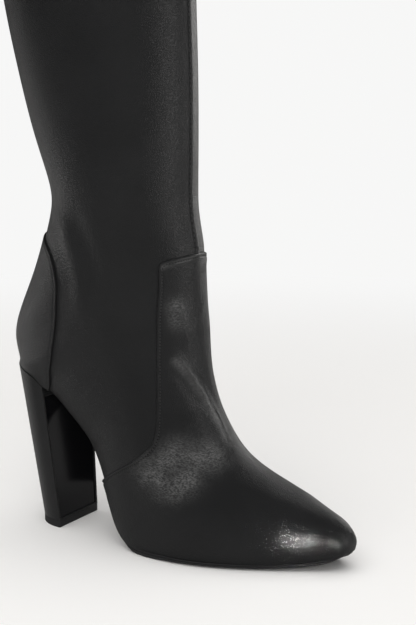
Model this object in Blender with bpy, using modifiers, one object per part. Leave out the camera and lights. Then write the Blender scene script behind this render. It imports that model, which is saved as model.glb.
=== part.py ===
"""Thigh-high boot for the right foot, at real size in metres.

The origin is the middle of the heel's top piece, where it stands on the floor.
+X points to the toe, +Y to the inner side of the foot and +Z up.
"""
import math
from collections import namedtuple

import bmesh
import bpy
import numpy as np
from mathutils import Vector

# Driving dimensions of the last and the boot
FOOT_LENGTH = 0.240       # back of the heel to the toe tip, measured along the floor
BALL_WIDTH = 0.080
HEEL_HEIGHT = 0.104       # rise of the heel seat over the forepart
INSTEP_HEIGHT = 0.118     # top of the instep over the floor
SHAFT_HEIGHT = 0.604      # heel seat to topline
HEEL_BACK = -0.0302       # x of the back of the heel seat
SOLE = 0.0040             # the upper's feather edge over the floor, at the ball

# Thicknesses and margins
GAP = 0.0003              # between pieces that touch
LIP = 0.0010              # the overlays' lower edges reach this far under the feather edge, at most
WALL = 0.0020             # leather and lining of the upper
OVERLAY = 0.0012          # leather of the vamp and the counter
OVERLAY_LIFT = 0.0007     # from the upper's surface to theirs, which its flat faces cut short
WAIST_SOLE = 0.0030       # outsole under the waist
INSOLE = 0.0018
INSOLE_INSET = 0.0033     # inside the feather edge
SOLE_MARGIN = 0.0026      # how far the sole stands out from the feather edge, round the forepart
WAIST_MARGIN = -0.0020    # it is tucked in under the waist
HEEL_MARGIN = 0.0012      # the heel runs out flush with the counter
TOP_PIECE = 0.0047

# The heel's foot on the floor, a D that is straight at the breast
TIP_HALF_LENGTH = 0.0118
TIP_HALF_WIDTH = 0.0212
BREAST = 0.0043           # x of the breast at the seat
PANEL_BORDER = 0.0012     # leather left round the breast panel
PANEL_TOP_BORDER = 0.0045
PANEL = 0.0012            # thickness of the breast panel
PANEL_RECESS = 0.0006     # how far the panel lies behind the leather

# Sections of the last. Each lies in the plane through its low point, its top point and the
# direction of Y. Lengths along X count from the heel's back in foot lengths, low_z counts from
# the forepart in heel heights, top_z from the floor in instep heights, and widths count from
# the centre plane in ball widths. The surface leaves the feather edge at edge_out and edge_in,
# is widest at side_out and side_in, rise of the way up, and closes at the ridge.
# upright is 1 where the side leaves the edge along the section, 0 where it leaves it sideways.
Section = namedtuple("Section", "low_x low_z top_x top_z ridge edge_out edge_in side_out side_in "
                                "rise upright low_full top_full")

FOOT_SECTIONS = (
    # low_x low_z top_x top_z ridge edge_out edge_in side_out side_in rise upright low_full top_full
    Section(.988, .072, .9930, .101, .115, -.070, .160, -.069, .162, .10, .90, .55, .55),  # toe tip
    Section(.981, .067, .9945, .142, .114, -.026, .192, -.022, .197, .40, .90, .55, .55),
    Section(.967, .058, .9880, .180, .112, .012, .218, .020, .226, .42, .90, .55, .55),
    Section(.946, .045, .9640, .226, .108, .044, .250, .056, .259, .42, .90, .55, .56),
    Section(.902, .025, .9110, .276, .100, .102, .306, .119, .317, .42, .90, .55, .58),
    Section(.830, .008, .8420, .342, .088, .220, .393, .238, .406, .38, .90, .55, .59),
    Section(.748, .002, .7760, .402, .075, .332, .451, .352, .466, .33, .90, .55, .58),
    Section(.667, .000, .7140, .472, .062, .420, .470, .442, .490, .28, .90, .55, .54),
    Section(.592, .000, .6640, .570, .050, .462, .435, .490, .473, .26, .90, .55, .50),  # ball
    Section(.524, .000, .6310, .688, .038, .468, .378, .498, .442, .28, .85, .55, .48),
    Section(.446, .006, .6085, .802, .025, .435, .325, .475, .415, .33, .80, .55, .48),
    Section(.390, .104, .5940, .905, .019, .380, .281, .450, .402, .38, .75, .55, .48),
    Section(.345, .338, .5840, .996, .013, .340, .256, .432, .398, .42, .70, .55, .50),  # waist
    Section(.294, .572, .5775, 1.085, .010, .315, .256, .425, .402, .44, .70, .55, .52),
    Section(.232, .724, .5730, 1.170, .008, .318, .281, .425, .412, .46, .70, .58, .54),
    Section(.170, .856, .5695, 1.250, .005, .328, .308, .432, .425, .50, .75, .60, .54),  # breast
    Section(.117, .909, .5665, 1.318, .002, .328, .320, .442, .438, .53, .85, .62, .54),  # seat
)
SHAFT_SECTIONS = (
    Section(.022, .000, .5612, 1.466, .000, .0, .0, .465, .462, .60, .00, .66, .54),  # seat back
    Section(.006, .021, .5607, 1.508, .0, .0, .0, .472, .468, .60, .00, .66, .54),
    Section(.018, .044, .5600, 1.555, .0, .0, .0, .480, .475, .58, .00, .66, .54),
    Section(.046, .069, .5580, 1.606, .0, .0, .0, .490, .482, .57, .00, .65, .54),
    Section(.079, .097, .5525, 1.669, .0, .0, .0, .502, .492, .55, .00, .62, .54),
    Section(.110, .127, .5460, 1.742, .0, .0, .0, .515, .505, .53, .00, .60, .54),
    Section(.134, .155, .5415, 1.814, .0, .0, .0, .530, .518, .52, .00, .58, .54),  # ankle
    Section(.147, .180, .5392, 1.890, .0, .0, .0, .542, .528, .51, .00, .57, .55),
    Section(.131, .208, .5400, 2.000, .0, .0, .0, .555, .538, .50, .00, .56, .55),
    Section(.094, .247, .5412, 2.178, .0, .0, .0, .572, .555, .50, .00, .56, .55),
    Section(.046, .312, .5400, 2.500, .0, .0, .0, .598, .585, .50, .00, .56, .55),
    Section(.0025, .387, .5342, 2.881, .0, .0, .0, .625, .612, .50, .00, .56, .55),
    Section(-.025, .478, .5270, 3.347, .0, .0, .0, .656, .644, .50, .00, .56, .55),  # calf
    Section(-.017, .578, .5240, 3.856, .0, .0, .0, .675, .669, .50, .00, .56, .55),
    Section(.000, .669, .5290, 4.322, .0, .0, .0, .700, .700, .50, .00, .56, .55),  # knee
    Section(-.017, .768, .5415, 4.847, .0, .0, .0, .762, .762, .50, .00, .56, .55),
    Section(-.050, .876, .5580, 5.440, .0, .0, .0, .831, .831, .50, .00, .56, .55),
    Section(-.083, 1.00, .5750, 6.120, .0, .0, .0, .888, .888, .50, .00, .56, .55),  # topline
)
SEAT_ARC_STEPS = 4        # sections round the back quarter of the seat
SEAT_MEAN = 0.20          # in u, half the stretch that points at the back of the seat are means over
SEAT_REACH = 0.45         # in u, how far from the back of the seat that mean is taken
SEAT_EDGE = 0.25          # in v, how far from the edge it comes in


def seat_arc():
    """Sections that carry the feather edge round the back of the seat in a quarter ellipse."""
    start = np.array(FOOT_SECTIONS[-1])
    end = np.array(SHAFT_SECTIONS[0])
    end[1] = 1.0
    rows = []
    for step in range(1, SEAT_ARC_STEPS + 1):
        turn = math.pi / 2 * step / SEAT_ARC_STEPS
        row = start + (end - start) * math.sin(turn)
        row[5:7] = start[5:7] * math.cos(turn)
        row[10] = start[10] * (1 - step / SEAT_ARC_STEPS)
        rows.append(row)
    return rows


def natural_spline(knots, values):
    """A natural cubic spline through rows of values, as a function of the parameter."""
    step = np.diff(knots)
    count = len(knots)
    matrix = np.eye(count)
    right = np.zeros_like(values)
    for i in range(1, count - 1):
        matrix[i, i - 1:i + 2] = step[i - 1], 2 * (step[i - 1] + step[i]), step[i]
        slope_after = (values[i + 1] - values[i]) / step[i]
        slope_before = (values[i] - values[i - 1]) / step[i - 1]
        right[i] = 6 * (slope_after - slope_before)
    bend = np.linalg.solve(matrix, right)

    def spline(at):
        at = np.clip(np.asarray(at, float), knots[0], knots[-1])
        i = np.clip(np.searchsorted(knots, at) - 1, 0, count - 2)
        h = step[i][..., None]
        a = (knots[i + 1] - at)[..., None] / h
        b = 1 - a
        curve = (a ** 3 - a) * bend[i] + (b ** 3 - b) * bend[i + 1]
        return a * values[i] + b * values[i + 1] + curve * h ** 2 / 6

    return spline


def metres(rows, on_shaft):
    """Table rows in fractions, turned into metres (the last four columns stay as they are)."""
    rows = np.array(rows, float)
    seat = SOLE + HEEL_HEIGHT
    rows[:, [0, 2]] = HEEL_BACK + rows[:, [0, 2]] * FOOT_LENGTH
    rows[:, 1] = seat + rows[:, 1] * SHAFT_HEIGHT if on_shaft else SOLE + rows[:, 1] * HEEL_HEIGHT
    rows[:, 3] *= INSTEP_HEIGHT
    rows[:, 4:9] *= BALL_WIDTH
    return rows


def smooth_step(start, end, at):
    share = np.clip((np.asarray(at, float) - start) / (end - start), 0, 1)
    return share * share * (3 - 2 * share)


class Last:
    """The outer surface of the upper: u runs from the toe tip over the heel seat to the topline,
    v from the outer edge or the back seam (-1) over the ridge (0) to the inner edge (1)."""

    def __init__(self):
        foot = metres(list(FOOT_SECTIONS) + seat_arc(), False)
        shaft = metres(SHAFT_SECTIONS, True)
        rows = np.vstack([foot, shaft[1:]])
        low = np.hypot(*np.diff(rows[:, :2], axis=0).T)
        top = np.hypot(*np.diff(rows[:, 2:4], axis=0).T)
        self.knots = np.concatenate([[0], np.cumsum(np.sqrt((low + top) / 2))])
        seat = len(foot)
        self.seat_back = self.knots[seat - 1]
        self.topline = self.knots[-1]
        corner = [0, 1, 5, 6, 10]
        smooth = [2, 3, 4, 7, 8, 9, 11, 12]
        self.foot_columns = natural_spline(self.knots[:seat], foot[:, corner])
        self.shaft_columns = natural_spline(self.knots[seat - 1:], shaft[:, corner])
        self.smooth_columns = natural_spline(self.knots, rows[:, smooth])

    def section(self, u):
        """The section's values at u, as a Section of arrays."""
        u = np.asarray(u, float)
        on_foot = (u <= self.seat_back)[..., None]
        foot = self.foot_columns(np.minimum(u, self.seat_back))
        shaft = self.shaft_columns(np.maximum(u, self.seat_back))
        corner = np.where(on_foot, foot, shaft)
        corner[..., 2:4] = np.where(on_foot, corner[..., 2:4], 0)
        smooth = self.smooth_columns(u)
        low_x, low_z, edge_out, edge_in, upright = np.moveaxis(corner, -1, 0)
        low_z = np.maximum(low_z, SOLE)
        top_x, top_z, ridge, side_out, side_in, rise, low_full, top_full = np.moveaxis(smooth, -1, 0)
        return Section(low_x, low_z, top_x, top_z, ridge, edge_out, edge_in, side_out, side_in,
                       rise, upright, low_full, top_full)

    def point(self, u, v):
        """Points of the surface, as an array of X, Y, Z. Round the back of the seat they are means
        over neighbouring sections, so that the surface has no fold in from the edge's corner."""
        u, v = np.broadcast_arrays(np.asarray(u, float), np.asarray(v, float))
        near = np.clip(1 - ((u - self.seat_back) / SEAT_REACH) ** 2, 0, 1) ** 2
        inside = smooth_step(0, SEAT_EDGE, 1 - np.abs(v))
        shares = np.linspace(-1, 1, 11)[1:-1]
        weights = (1 - shares ** 2) ** 2
        mean = sum(weight * self.drawn(u + share * SEAT_MEAN * near * inside, v)
                   for share, weight in zip(shares, weights))
        return mean / weights.sum()

    def drawn(self, u, v):
        """Points as the sections draw them."""
        s = self.section(u)
        outer = v < 0
        sign = np.where(outer, -1.0, 1.0)
        edge = sign * np.where(outer, s.edge_out, s.edge_in)
        side = sign * np.where(outer, s.side_out, s.side_in)
        height = np.hypot(s.top_x - s.low_x, s.top_z - s.low_z)
        widest = s.rise * height
        up = 1 - np.abs(v)
        lean = s.upright * math.pi / 2
        upward = np.hypot(side - edge, widest) * s.upright / 3
        sideways = np.abs(side - edge) * s.low_full * (1 - s.upright)
        reach = upward + sideways
        y_low = bezier(edge, edge + sign * np.cos(lean) * reach, side, side, up * 2)
        a_low = bezier(0, np.sin(lean) * reach, widest * (1 - s.low_full), widest, up * 2)
        y_top = bezier(side, side, s.ridge + (side - s.ridge) * s.top_full, s.ridge, up * 2 - 1)
        a_top = bezier(widest, widest + (height - widest) * s.top_full, height, height, up * 2 - 1)
        y = np.where(up < 0.5, y_low, y_top)
        along = np.where(up < 0.5, a_low, a_top) / height
        x = s.low_x + (s.top_x - s.low_x) * along
        z = s.low_z + (s.top_z - s.low_z) * along
        return np.stack([x, y, z], -1)


def bezier(a, b, c, d, t):
    t = np.clip(t, 0, 1)
    return a * (1 - t) ** 3 + 3 * b * t * (1 - t) ** 2 + 3 * c * t ** 2 * (1 - t) + d * t ** 3


LAST = Last()

# How finely the pieces are drawn
COLUMNS = 24              # faces across the upper, from edge to edge
ANKLE = 28                # number of the section over the ankle
FOOT_STEP = 0.0130        # longest face along the foot, up to the ankle
RIB_STEP = 0.0065         # longest face along the sole and the insole
SHAFT_STEP = 0.042        # longest face up the shaft
TAB_COLUMNS = 10          # of the upper's faces across, those that the tab is drawn from
WING_ROWS = 3             # faces along the vamp's wings, under the waist
COUNTER_COLUMNS = 9       # faces across half of the counter
SOLE_COLUMNS = 4
HEEL_COLUMNS = 18         # faces round the heel's curved side
HEEL_ROWS = 4
MERGE = 1e-6
CLOSEST_ROW = 0.03        # in u, between two rows

# Seams in the side view, the same on both sides of the foot. Each point is a height over the
# floor in instep heights and a distance from the heel's back in foot lengths.
SeamPoint = namedtuple("SeamPoint", "height along")

VAMP_SEAM = (
    SeamPoint(0.200, 0.250),
    SeamPoint(0.353, 0.343),   # the feather edge under the waist
    SeamPoint(0.497, 0.448),
    SeamPoint(0.588, 0.500),
    SeamPoint(0.655, 0.519),   # the corner under the tab
    SeamPoint(0.774, 0.527),
    SeamPoint(1.040, 0.513),
    SeamPoint(1.260, 0.501),
    SeamPoint(1.480, 0.498),
    SeamPoint(1.700, 0.505),
)
COUNTER_SEAM = (
    SeamPoint(0.700, 0.160),
    SeamPoint(0.813, 0.166),   # the feather edge at the breast
    SeamPoint(0.980, 0.200),
    SeamPoint(1.210, 0.225),
    SeamPoint(1.400, 0.233),
    SeamPoint(1.500, 0.224),
    SeamPoint(1.570, 0.203),
    SeamPoint(1.625, 0.168),
    SeamPoint(1.660, 0.120),   # the top, at the back seam
    SeamPoint(1.700, 0.040),
)
TAB_TOP = 22.3            # number of the section where the tab ends
TAB_FOOT = (0.012, 0.030)  # u over the tab's foot, where it narrows fast
TAB_CORNER = ((0.050, 0.000), (0.015, 0.009), (0.000, 0.030))  # u below its top, v in from its side
COUNTER_TIP = 0.03        # u left off the counter's two pointed ends
WAIST_START = 9           # the sole narrows between these two sections
WAIST_FULL = 12
INSOLE_END = 19.0         # the insole's short straight end, before the back of the seat


def section_parameter(number):
    """The parameter u at a section's number, which may lie between two."""
    return float(np.interp(number, range(len(LAST.knots)), LAST.knots))


def row_parameters(start, end, foot_step=FOOT_STEP):
    """Rows from start to end: one at every section, and more where sections lie far apart."""
    rows = [start]
    for low, high in zip(LAST.knots[:-1], LAST.knots[1:]):
        step = foot_step if low < LAST.knots[ANKLE] else SHAFT_STEP
        count = math.ceil((high - low) ** 2 / step)
        rows += [low + (high - low) * i / count for i in range(1, count + 1)]
    shortest = 0.01
    rows = [u for u in rows if start + shortest < u < end - shortest]
    return [start] + rows + [end]


def seam_along(seam, z):
    """X of a seam at a height."""
    heights = [point.height * INSTEP_HEIGHT for point in seam]
    places = [HEEL_BACK + point.along * FOOT_LENGTH for point in seam]
    return np.interp(z, heights, places)


def seam_crossing(seam, place, inside, outside):
    """Where place(t), a path over the upper from a t in front of the seam to one behind it,
    crosses the seam."""
    for _ in range(30):
        middle = (inside + outside) / 2
        x, _, z = place(middle)
        if x > seam_along(seam, z):
            inside = middle
        else:
            outside = middle
    return inside


def wing_end(v):
    """The parameter where the vamp's seam crosses a column of the upper under the waist."""
    start, end = section_parameter(10), section_parameter(14)
    return seam_crossing(VAMP_SEAM, lambda u: LAST.point(u, v), start, end)


def vamp_corner():
    """The parameter of the row where the vamp's tab and its wings part."""
    side = TAB_COLUMNS / COLUMNS
    return (wing_end(-side) + wing_end(side)) / 2


def upper_parameters():
    """The upper's rows from toe to topline, with the vamp's corner among them."""
    corner = vamp_corner()
    rows = [u for u in row_parameters(0, LAST.topline) if abs(u - corner) > CLOSEST_ROW]
    return sorted(rows + [corner])


def vamp_grids():
    """The vamp as grids of points: from toe to waist, the tab over the instep and the two wings."""
    columns = np.linspace(-1, 1, COLUMNS + 1)
    side = TAB_COLUMNS / COLUMNS
    corner = vamp_corner()
    top = section_parameter(TAB_TOP)
    body = [LAST.point(u, columns) for u in upper_parameters() if u <= corner]

    middle = columns[np.abs(columns) < side + MERGE]
    levels = [(corner + rise, 0) for rise in TAB_FOOT]
    levels += [(u, 0) for u in upper_parameters() if levels[-1][0] < u < top - 1.5 * TAB_CORNER[0][0]]
    levels += [(top - below, inset) for below, inset in TAB_CORNER]
    tab = [LAST.point(corner, middle)]
    for u, inset in levels:
        outer = seam_crossing(VAMP_SEAM, lambda v: LAST.point(u, v), 0, -side)
        inner = seam_crossing(VAMP_SEAM, lambda v: LAST.point(u, v), 0, side)
        reach = np.where(middle < 0, -(outer + inset), inner - inset)
        tab.append(LAST.point(u, reach * middle / side))

    wings = []
    for reach in (columns[columns < -side + MERGE], columns[columns > side - MERGE]):
        ends = np.maximum([wing_end(v) for v in reach], corner)
        steps = np.linspace(0, 1, WING_ROWS + 1)
        wings.append([LAST.point(corner + (ends - corner) * step, reach) for step in steps])
    return [body, tab] + wings


def counter_grids():
    """The counter's two halves, each a grid from the back to the seam."""
    low_front, low_back = section_parameter(14), section_parameter(18)
    high_front, high_back = section_parameter(27), section_parameter(24)
    grids = []
    for side in (-1, 1):
        start = seam_crossing(COUNTER_SEAM, lambda u: LAST.point(u, side), low_front, low_back)
        end = seam_crossing(COUNTER_SEAM, lambda u: LAST.point(u, side), high_front, high_back)
        rows = []
        for u in row_parameters(start + COUNTER_TIP, end - COUNTER_TIP):
            edge = seam_crossing(COUNTER_SEAM, lambda v: LAST.point(u, v), side / 2, side)
            share = np.linspace(*sorted((side, edge)), COUNTER_COLUMNS + 1)
            rows.append(LAST.point(u, share))
        grids.append(rows)
    return grids


def moved_sideways(line, reach):
    """A line of points moved in plan, to the right of its direction where reach is positive."""
    line = np.array(line)
    tangent = np.gradient(line[:, :2], axis=0)
    tangent /= np.linalg.norm(tangent, axis=1)[:, None]
    line[:, 0] += tangent[:, 1] * reach
    line[:, 1] -= tangent[:, 0] * reach
    return line


def feather_ribs(parameters, margin):
    """Ribs across the foot from the toe back, between the feather edges moved out by a margin."""
    parameters = np.array(parameters)
    tip = LAST.point(0, np.linspace(-1, 1, SOLE_COLUMNS + 1))[1:-1]
    line = np.vstack([LAST.point(parameters, -1)[::-1], tip, LAST.point(parameters, 1)])
    reach = np.concatenate([margin[::-1], np.full(len(tip), margin[0]), margin])
    line = moved_sideways(line, reach)
    count = len(parameters)
    outer, inner = line[:count][::-1], line[-count:]
    share = np.linspace(0, 1, SOLE_COLUMNS + 1)[:, None]
    ribs = [start + (end - start) * share for start, end in zip(outer, inner)]
    ribs[0] = line[count - 1:-count + 1]
    return ribs


def spread(line, count):
    """Points at equal steps along a line of points."""
    line = np.array(line)
    length = np.concatenate([[0], np.cumsum(np.linalg.norm(np.diff(line, axis=0), axis=1))])
    at = np.linspace(0, length[-1], count + 1)
    return np.stack([np.interp(at, length, line[:, i]) for i in range(3)], 1)


def breast_parameter():
    """The parameter where the feather edge passes over the breast."""
    parameters = np.linspace(section_parameter(14), LAST.seat_back, 400)
    return float(np.interp(-BREAST, -LAST.section(parameters).low_x, parameters))


def tip_outline(z):
    """The heel's D at the floor, from its outer breast corner round the back to the inner one."""
    turn = np.linspace(-math.pi / 2, math.pi / 2, 61)
    x = TIP_HALF_LENGTH * (1 - 2 * np.cos(turn))
    line = np.stack([x, TIP_HALF_WIDTH * np.sin(turn), np.full(len(turn), z)], 1)
    return spread(line, HEEL_COLUMNS)


def heel_rows():
    """The heel's curved side in rows from the seat down to the top piece."""
    parameters = np.linspace(breast_parameter(), LAST.seat_back, 24)
    seat = np.vstack([LAST.point(parameters, -1), LAST.point(parameters[:-1], 1)[::-1]])
    seat = moved_sideways(seat, -HEEL_MARGIN) - [0, 0, LIP]
    seat[[0, -1], 0] = BREAST
    seat = spread(seat, HEEL_COLUMNS)
    tip = tip_outline(TOP_PIECE + GAP)
    return [seat + (tip - seat) * row / HEEL_ROWS for row in range(HEEL_ROWS + 1)]


def breast_corners(border, top_border):
    """The breast's four corners in its plane, drawn in by a border: top outer and inner, then
    bottom outer and inner."""
    rows = heel_rows()
    top_outer, top_inner, low_outer, low_inner = rows[0][0], rows[0][-1], rows[-1][0], rows[-1][-1]
    height = top_outer[2] - low_outer[2]
    corners = []
    for drop in (top_border / height, 1 - border / height):
        outer = top_outer + (low_outer - top_outer) * drop
        inner = top_inner + (low_inner - top_inner) * drop
        corners += [outer + [0, border, 0], inner - [0, border, 0]]
    return corners


def principled(name, colour, roughness):
    material = bpy.data.materials.new(name)
    material.use_nodes = True
    shader = material.node_tree.nodes["Principled BSDF"]
    shader.inputs["Base Color"].default_value = (*colour, 1)
    shader.inputs["Roughness"].default_value = roughness
    return material


def add_object(name, mesh, material, collection):
    """A named object from a bmesh, shaded smooth up to its sharp edges."""
    data = bpy.data.meshes.new(name)
    mesh.to_mesh(data)
    mesh.free()
    data.shade_smooth()
    data.set_sharp_from_angle(angle=math.radians(40))
    data.materials.append(material)
    part = bpy.data.objects.new(name, data)
    collection.objects.link(part)
    return part


def add_grid(mesh, rows):
    """Faces through a grid of points. Returns its vertices, row by row."""
    grid = [[mesh.verts.new(point) for point in row] for row in rows]
    for low, high in zip(grid, grid[1:]):
        for a, b, c, d in zip(low, low[1:], high[1:], high):
            mesh.faces.new((a, b, c, d))
    return grid


def leather(name, grids, thickness, lift, material, collection):
    """Leather along grids of points that meet at their edges. Its inner face lies lift off them."""
    mesh = bmesh.new()
    for rows in grids:
        add_grid(mesh, rows)
    bmesh.ops.remove_doubles(mesh, verts=mesh.verts, dist=MERGE)
    part = add_object(name, mesh, material, collection)
    solid = part.modifiers.new("Thickness", "SOLIDIFY")
    solid.thickness = thickness
    solid.offset = 1 + 2 * lift / thickness
    return part


def slab(name, ribs, low, high, material, collection):
    """A layer that follows ribs across the foot, from low to high over each of them."""
    mesh = bmesh.new()
    grids = [[rib + [0, 0, lift] for rib, lift in zip(ribs, lifts)] for lifts in (low, high)]
    bottom, top = [add_grid(mesh, rows) for rows in grids]
    edges = []
    for rows in (bottom, top):
        edges.append(rows[0] + [row[-1] for row in rows[1:-1]] + rows[-1][::-1]
                     + [row[0] for row in rows[-2:0:-1]])
    for a, b, c, d in zip(edges[0], edges[0][1:] + edges[0][:1], edges[1][1:] + edges[1][:1], edges[1]):
        mesh.faces.new((a, b, c, d))
    bmesh.ops.recalc_face_normals(mesh, faces=mesh.faces)
    if mesh.calc_volume(signed=True) < 0:
        bmesh.ops.reverse_faces(mesh, faces=mesh.faces)
    return add_object(name, mesh, material, collection)


def make_upper(material, collection):
    columns = np.linspace(-1, 1, COLUMNS + 1)
    rows = [LAST.point(u, columns) for u in upper_parameters()]
    leather("upper", [rows], WALL, -WALL, material, collection)


def make_outsole(material, collection):
    parameters = np.array(row_parameters(0, breast_parameter(), RIB_STEP))
    narrow = smooth_step(section_parameter(WAIST_START), section_parameter(WAIST_FULL), parameters)
    ribs = feather_ribs(parameters, SOLE_MARGIN + (WAIST_MARGIN - SOLE_MARGIN) * narrow)
    ribs[-1][:, 0] = BREAST + GAP
    thickness = SOLE + (WAIST_SOLE - SOLE) * narrow
    slab("outsole", ribs, -thickness, np.full(len(ribs), -LIP), material, collection)


def make_insole(material, collection):
    parameters = np.array(row_parameters(0, section_parameter(INSOLE_END), RIB_STEP))
    ribs = feather_ribs(parameters, np.full(len(parameters), -INSOLE_INSET))
    low = np.full(len(ribs), 2 * GAP - LIP)
    slab("insole", ribs, low, low + INSOLE, material, collection)


def box_between(name, corners, front, back, material, collection):
    """A plate on four corners of a plane across X, from front to back of it."""
    mesh = bmesh.new()
    made = bmesh.ops.create_cube(mesh, size=2)
    for vertex in made["verts"]:
        corner = corners[(0 if vertex.co.z > 0 else 2) + (0 if vertex.co.y < 0 else 1)]
        vertex.co = Vector(corner) + Vector((front if vertex.co.x > 0 else -back, 0, 0))
    return add_object(name, mesh, material, collection)


def make_heel(cover, panel, collection, cutters):
    rows = heel_rows()
    mesh = bmesh.new()
    side = add_grid(mesh, rows)
    last = HEEL_COLUMNS
    for low, high in zip(side, side[1:]):
        mesh.faces.new((low[0], high[0], high[last], low[last]))
    for row in (side[0], side[-1]):
        for i in range(HEEL_COLUMNS // 2):
            corners = (row[i], row[i + 1], row[last - i - 1], row[last - i])
            mesh.faces.new(list(dict.fromkeys(corners)))
    bmesh.ops.recalc_face_normals(mesh, faces=mesh.faces)
    heel = add_object("heel", mesh, cover, collection)

    corners = breast_corners(PANEL_BORDER, PANEL_TOP_BORDER)
    pocket = box_between("breast_pocket", corners, HEEL_MARGIN, PANEL_RECESS + PANEL + GAP, panel, cutters)
    pocket.hide_render = True
    pocket.display_type = "WIRE"
    cut = heel.modifiers.new("Breast pocket", "BOOLEAN")
    cut.object = pocket
    corners = breast_corners(PANEL_BORDER + GAP, PANEL_TOP_BORDER + GAP)
    box_between("heel_breast", corners, -PANEL_RECESS, PANEL_RECESS + PANEL, panel, collection)


def make_top_piece(material, collection):
    curve = bpy.data.curves.new("top_piece", "CURVE")
    curve.dimensions = "2D"
    curve.fill_mode = "BOTH"
    curve.extrude = TOP_PIECE / 2
    outline = curve.splines.new("POLY")
    points = tip_outline(0)
    outline.points.add(len(points) - 1)
    for spline_point, (x, y, _) in zip(outline.points, points):
        spline_point.co = (x, y, 0, 1)
    outline.use_cyclic_u = True
    curve.materials.append(material)
    part = bpy.data.objects.new("top_piece", curve)
    part.location.z = TOP_PIECE / 2
    collection.objects.link(part)


def main():
    for old in list(bpy.data.objects):
        bpy.data.objects.remove(old, do_unlink=True)
    boot = bpy.data.collections.new("thigh_high_boot")
    cutters = bpy.data.collections.new("cutters")
    bpy.context.scene.collection.children.link(boot)
    bpy.context.scene.collection.children.link(cutters)

    black_leather = principled("black_leather", (0.020, 0.020, 0.022), 0.48)
    lining = principled("insole_lining", (0.11, 0.095, 0.08), 0.80)
    sole_leather = principled("sole_leather", (0.014, 0.014, 0.015), 0.55)
    patent = principled("glossy_black", (0.006, 0.006, 0.007), 0.12)
    rubber = principled("black_rubber", (0.016, 0.016, 0.017), 0.75)

    make_upper(black_leather, boot)
    leather("vamp", vamp_grids(), OVERLAY, OVERLAY_LIFT, black_leather, boot)
    leather("counter", counter_grids(), OVERLAY, OVERLAY_LIFT, black_leather, boot)
    make_insole(lining, boot)
    make_outsole(sole_leather, boot)
    make_heel(black_leather, patent, boot, cutters)
    make_top_piece(rubber, boot)


if __name__ == "__main__":
    main()
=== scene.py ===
"""Thigh-high boot for the right foot: its leather, seams, stitches, sole and heel, and the studio.

Lengths are in metres unless a name or a table says millimetres. +X points to the toe, +Y to the
inner side of the foot and +Z up the shaft.
"""

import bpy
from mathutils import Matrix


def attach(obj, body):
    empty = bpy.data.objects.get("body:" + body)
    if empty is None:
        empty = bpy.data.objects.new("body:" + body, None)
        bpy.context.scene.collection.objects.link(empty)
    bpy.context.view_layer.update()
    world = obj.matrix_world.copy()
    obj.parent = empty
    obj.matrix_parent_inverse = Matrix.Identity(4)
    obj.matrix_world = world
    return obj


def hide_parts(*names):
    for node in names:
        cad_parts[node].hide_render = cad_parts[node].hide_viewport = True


bl_info = {
    "name": "Thigh-High Boot",
    "version": (1, 0, 0),
    "blender": (4, 5, 0),
    "location": "View3D > Sidebar > Boot",
    "description": "Makes the leather, seams, sole and heel of a thigh-high boot",
    "category": "Add Mesh",
}

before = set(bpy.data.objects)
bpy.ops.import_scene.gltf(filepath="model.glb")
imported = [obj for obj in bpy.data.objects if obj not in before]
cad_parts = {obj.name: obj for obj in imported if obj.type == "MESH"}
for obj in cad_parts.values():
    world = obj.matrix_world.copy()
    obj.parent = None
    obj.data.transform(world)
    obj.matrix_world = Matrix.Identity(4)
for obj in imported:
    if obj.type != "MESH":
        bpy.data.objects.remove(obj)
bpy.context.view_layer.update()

import math
from collections import namedtuple

import bmesh
import bpy
import numpy as np
from bpy.props import FloatProperty, FloatVectorProperty, PointerProperty
from mathutils import Vector

MM = 0.001

# --- The last ------------------------------------------------------------------------------

FOOT_LENGTH = 0.240
BALL_WIDTH = 0.080
HEEL_HEIGHT = 0.104
INSTEP_HEIGHT = 0.118
SHAFT_HEIGHT = 0.604
HEEL_BACK = -0.0302
SOLE = 0.0040

# Sections of the last, each in the plane through its low point, its top point and the direction
# of Y. Lengths along X count from the heel's back in foot lengths, low_z counts from the forepart
# in heel heights (up the shaft, from the seat in shaft heights), top_z from the floor in instep
# heights, and widths from the centre plane in ball widths.
Section = namedtuple("Section", "low_x low_z top_x top_z ridge edge_out edge_in side_out side_in "
                                "rise upright low_full top_full")

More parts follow.
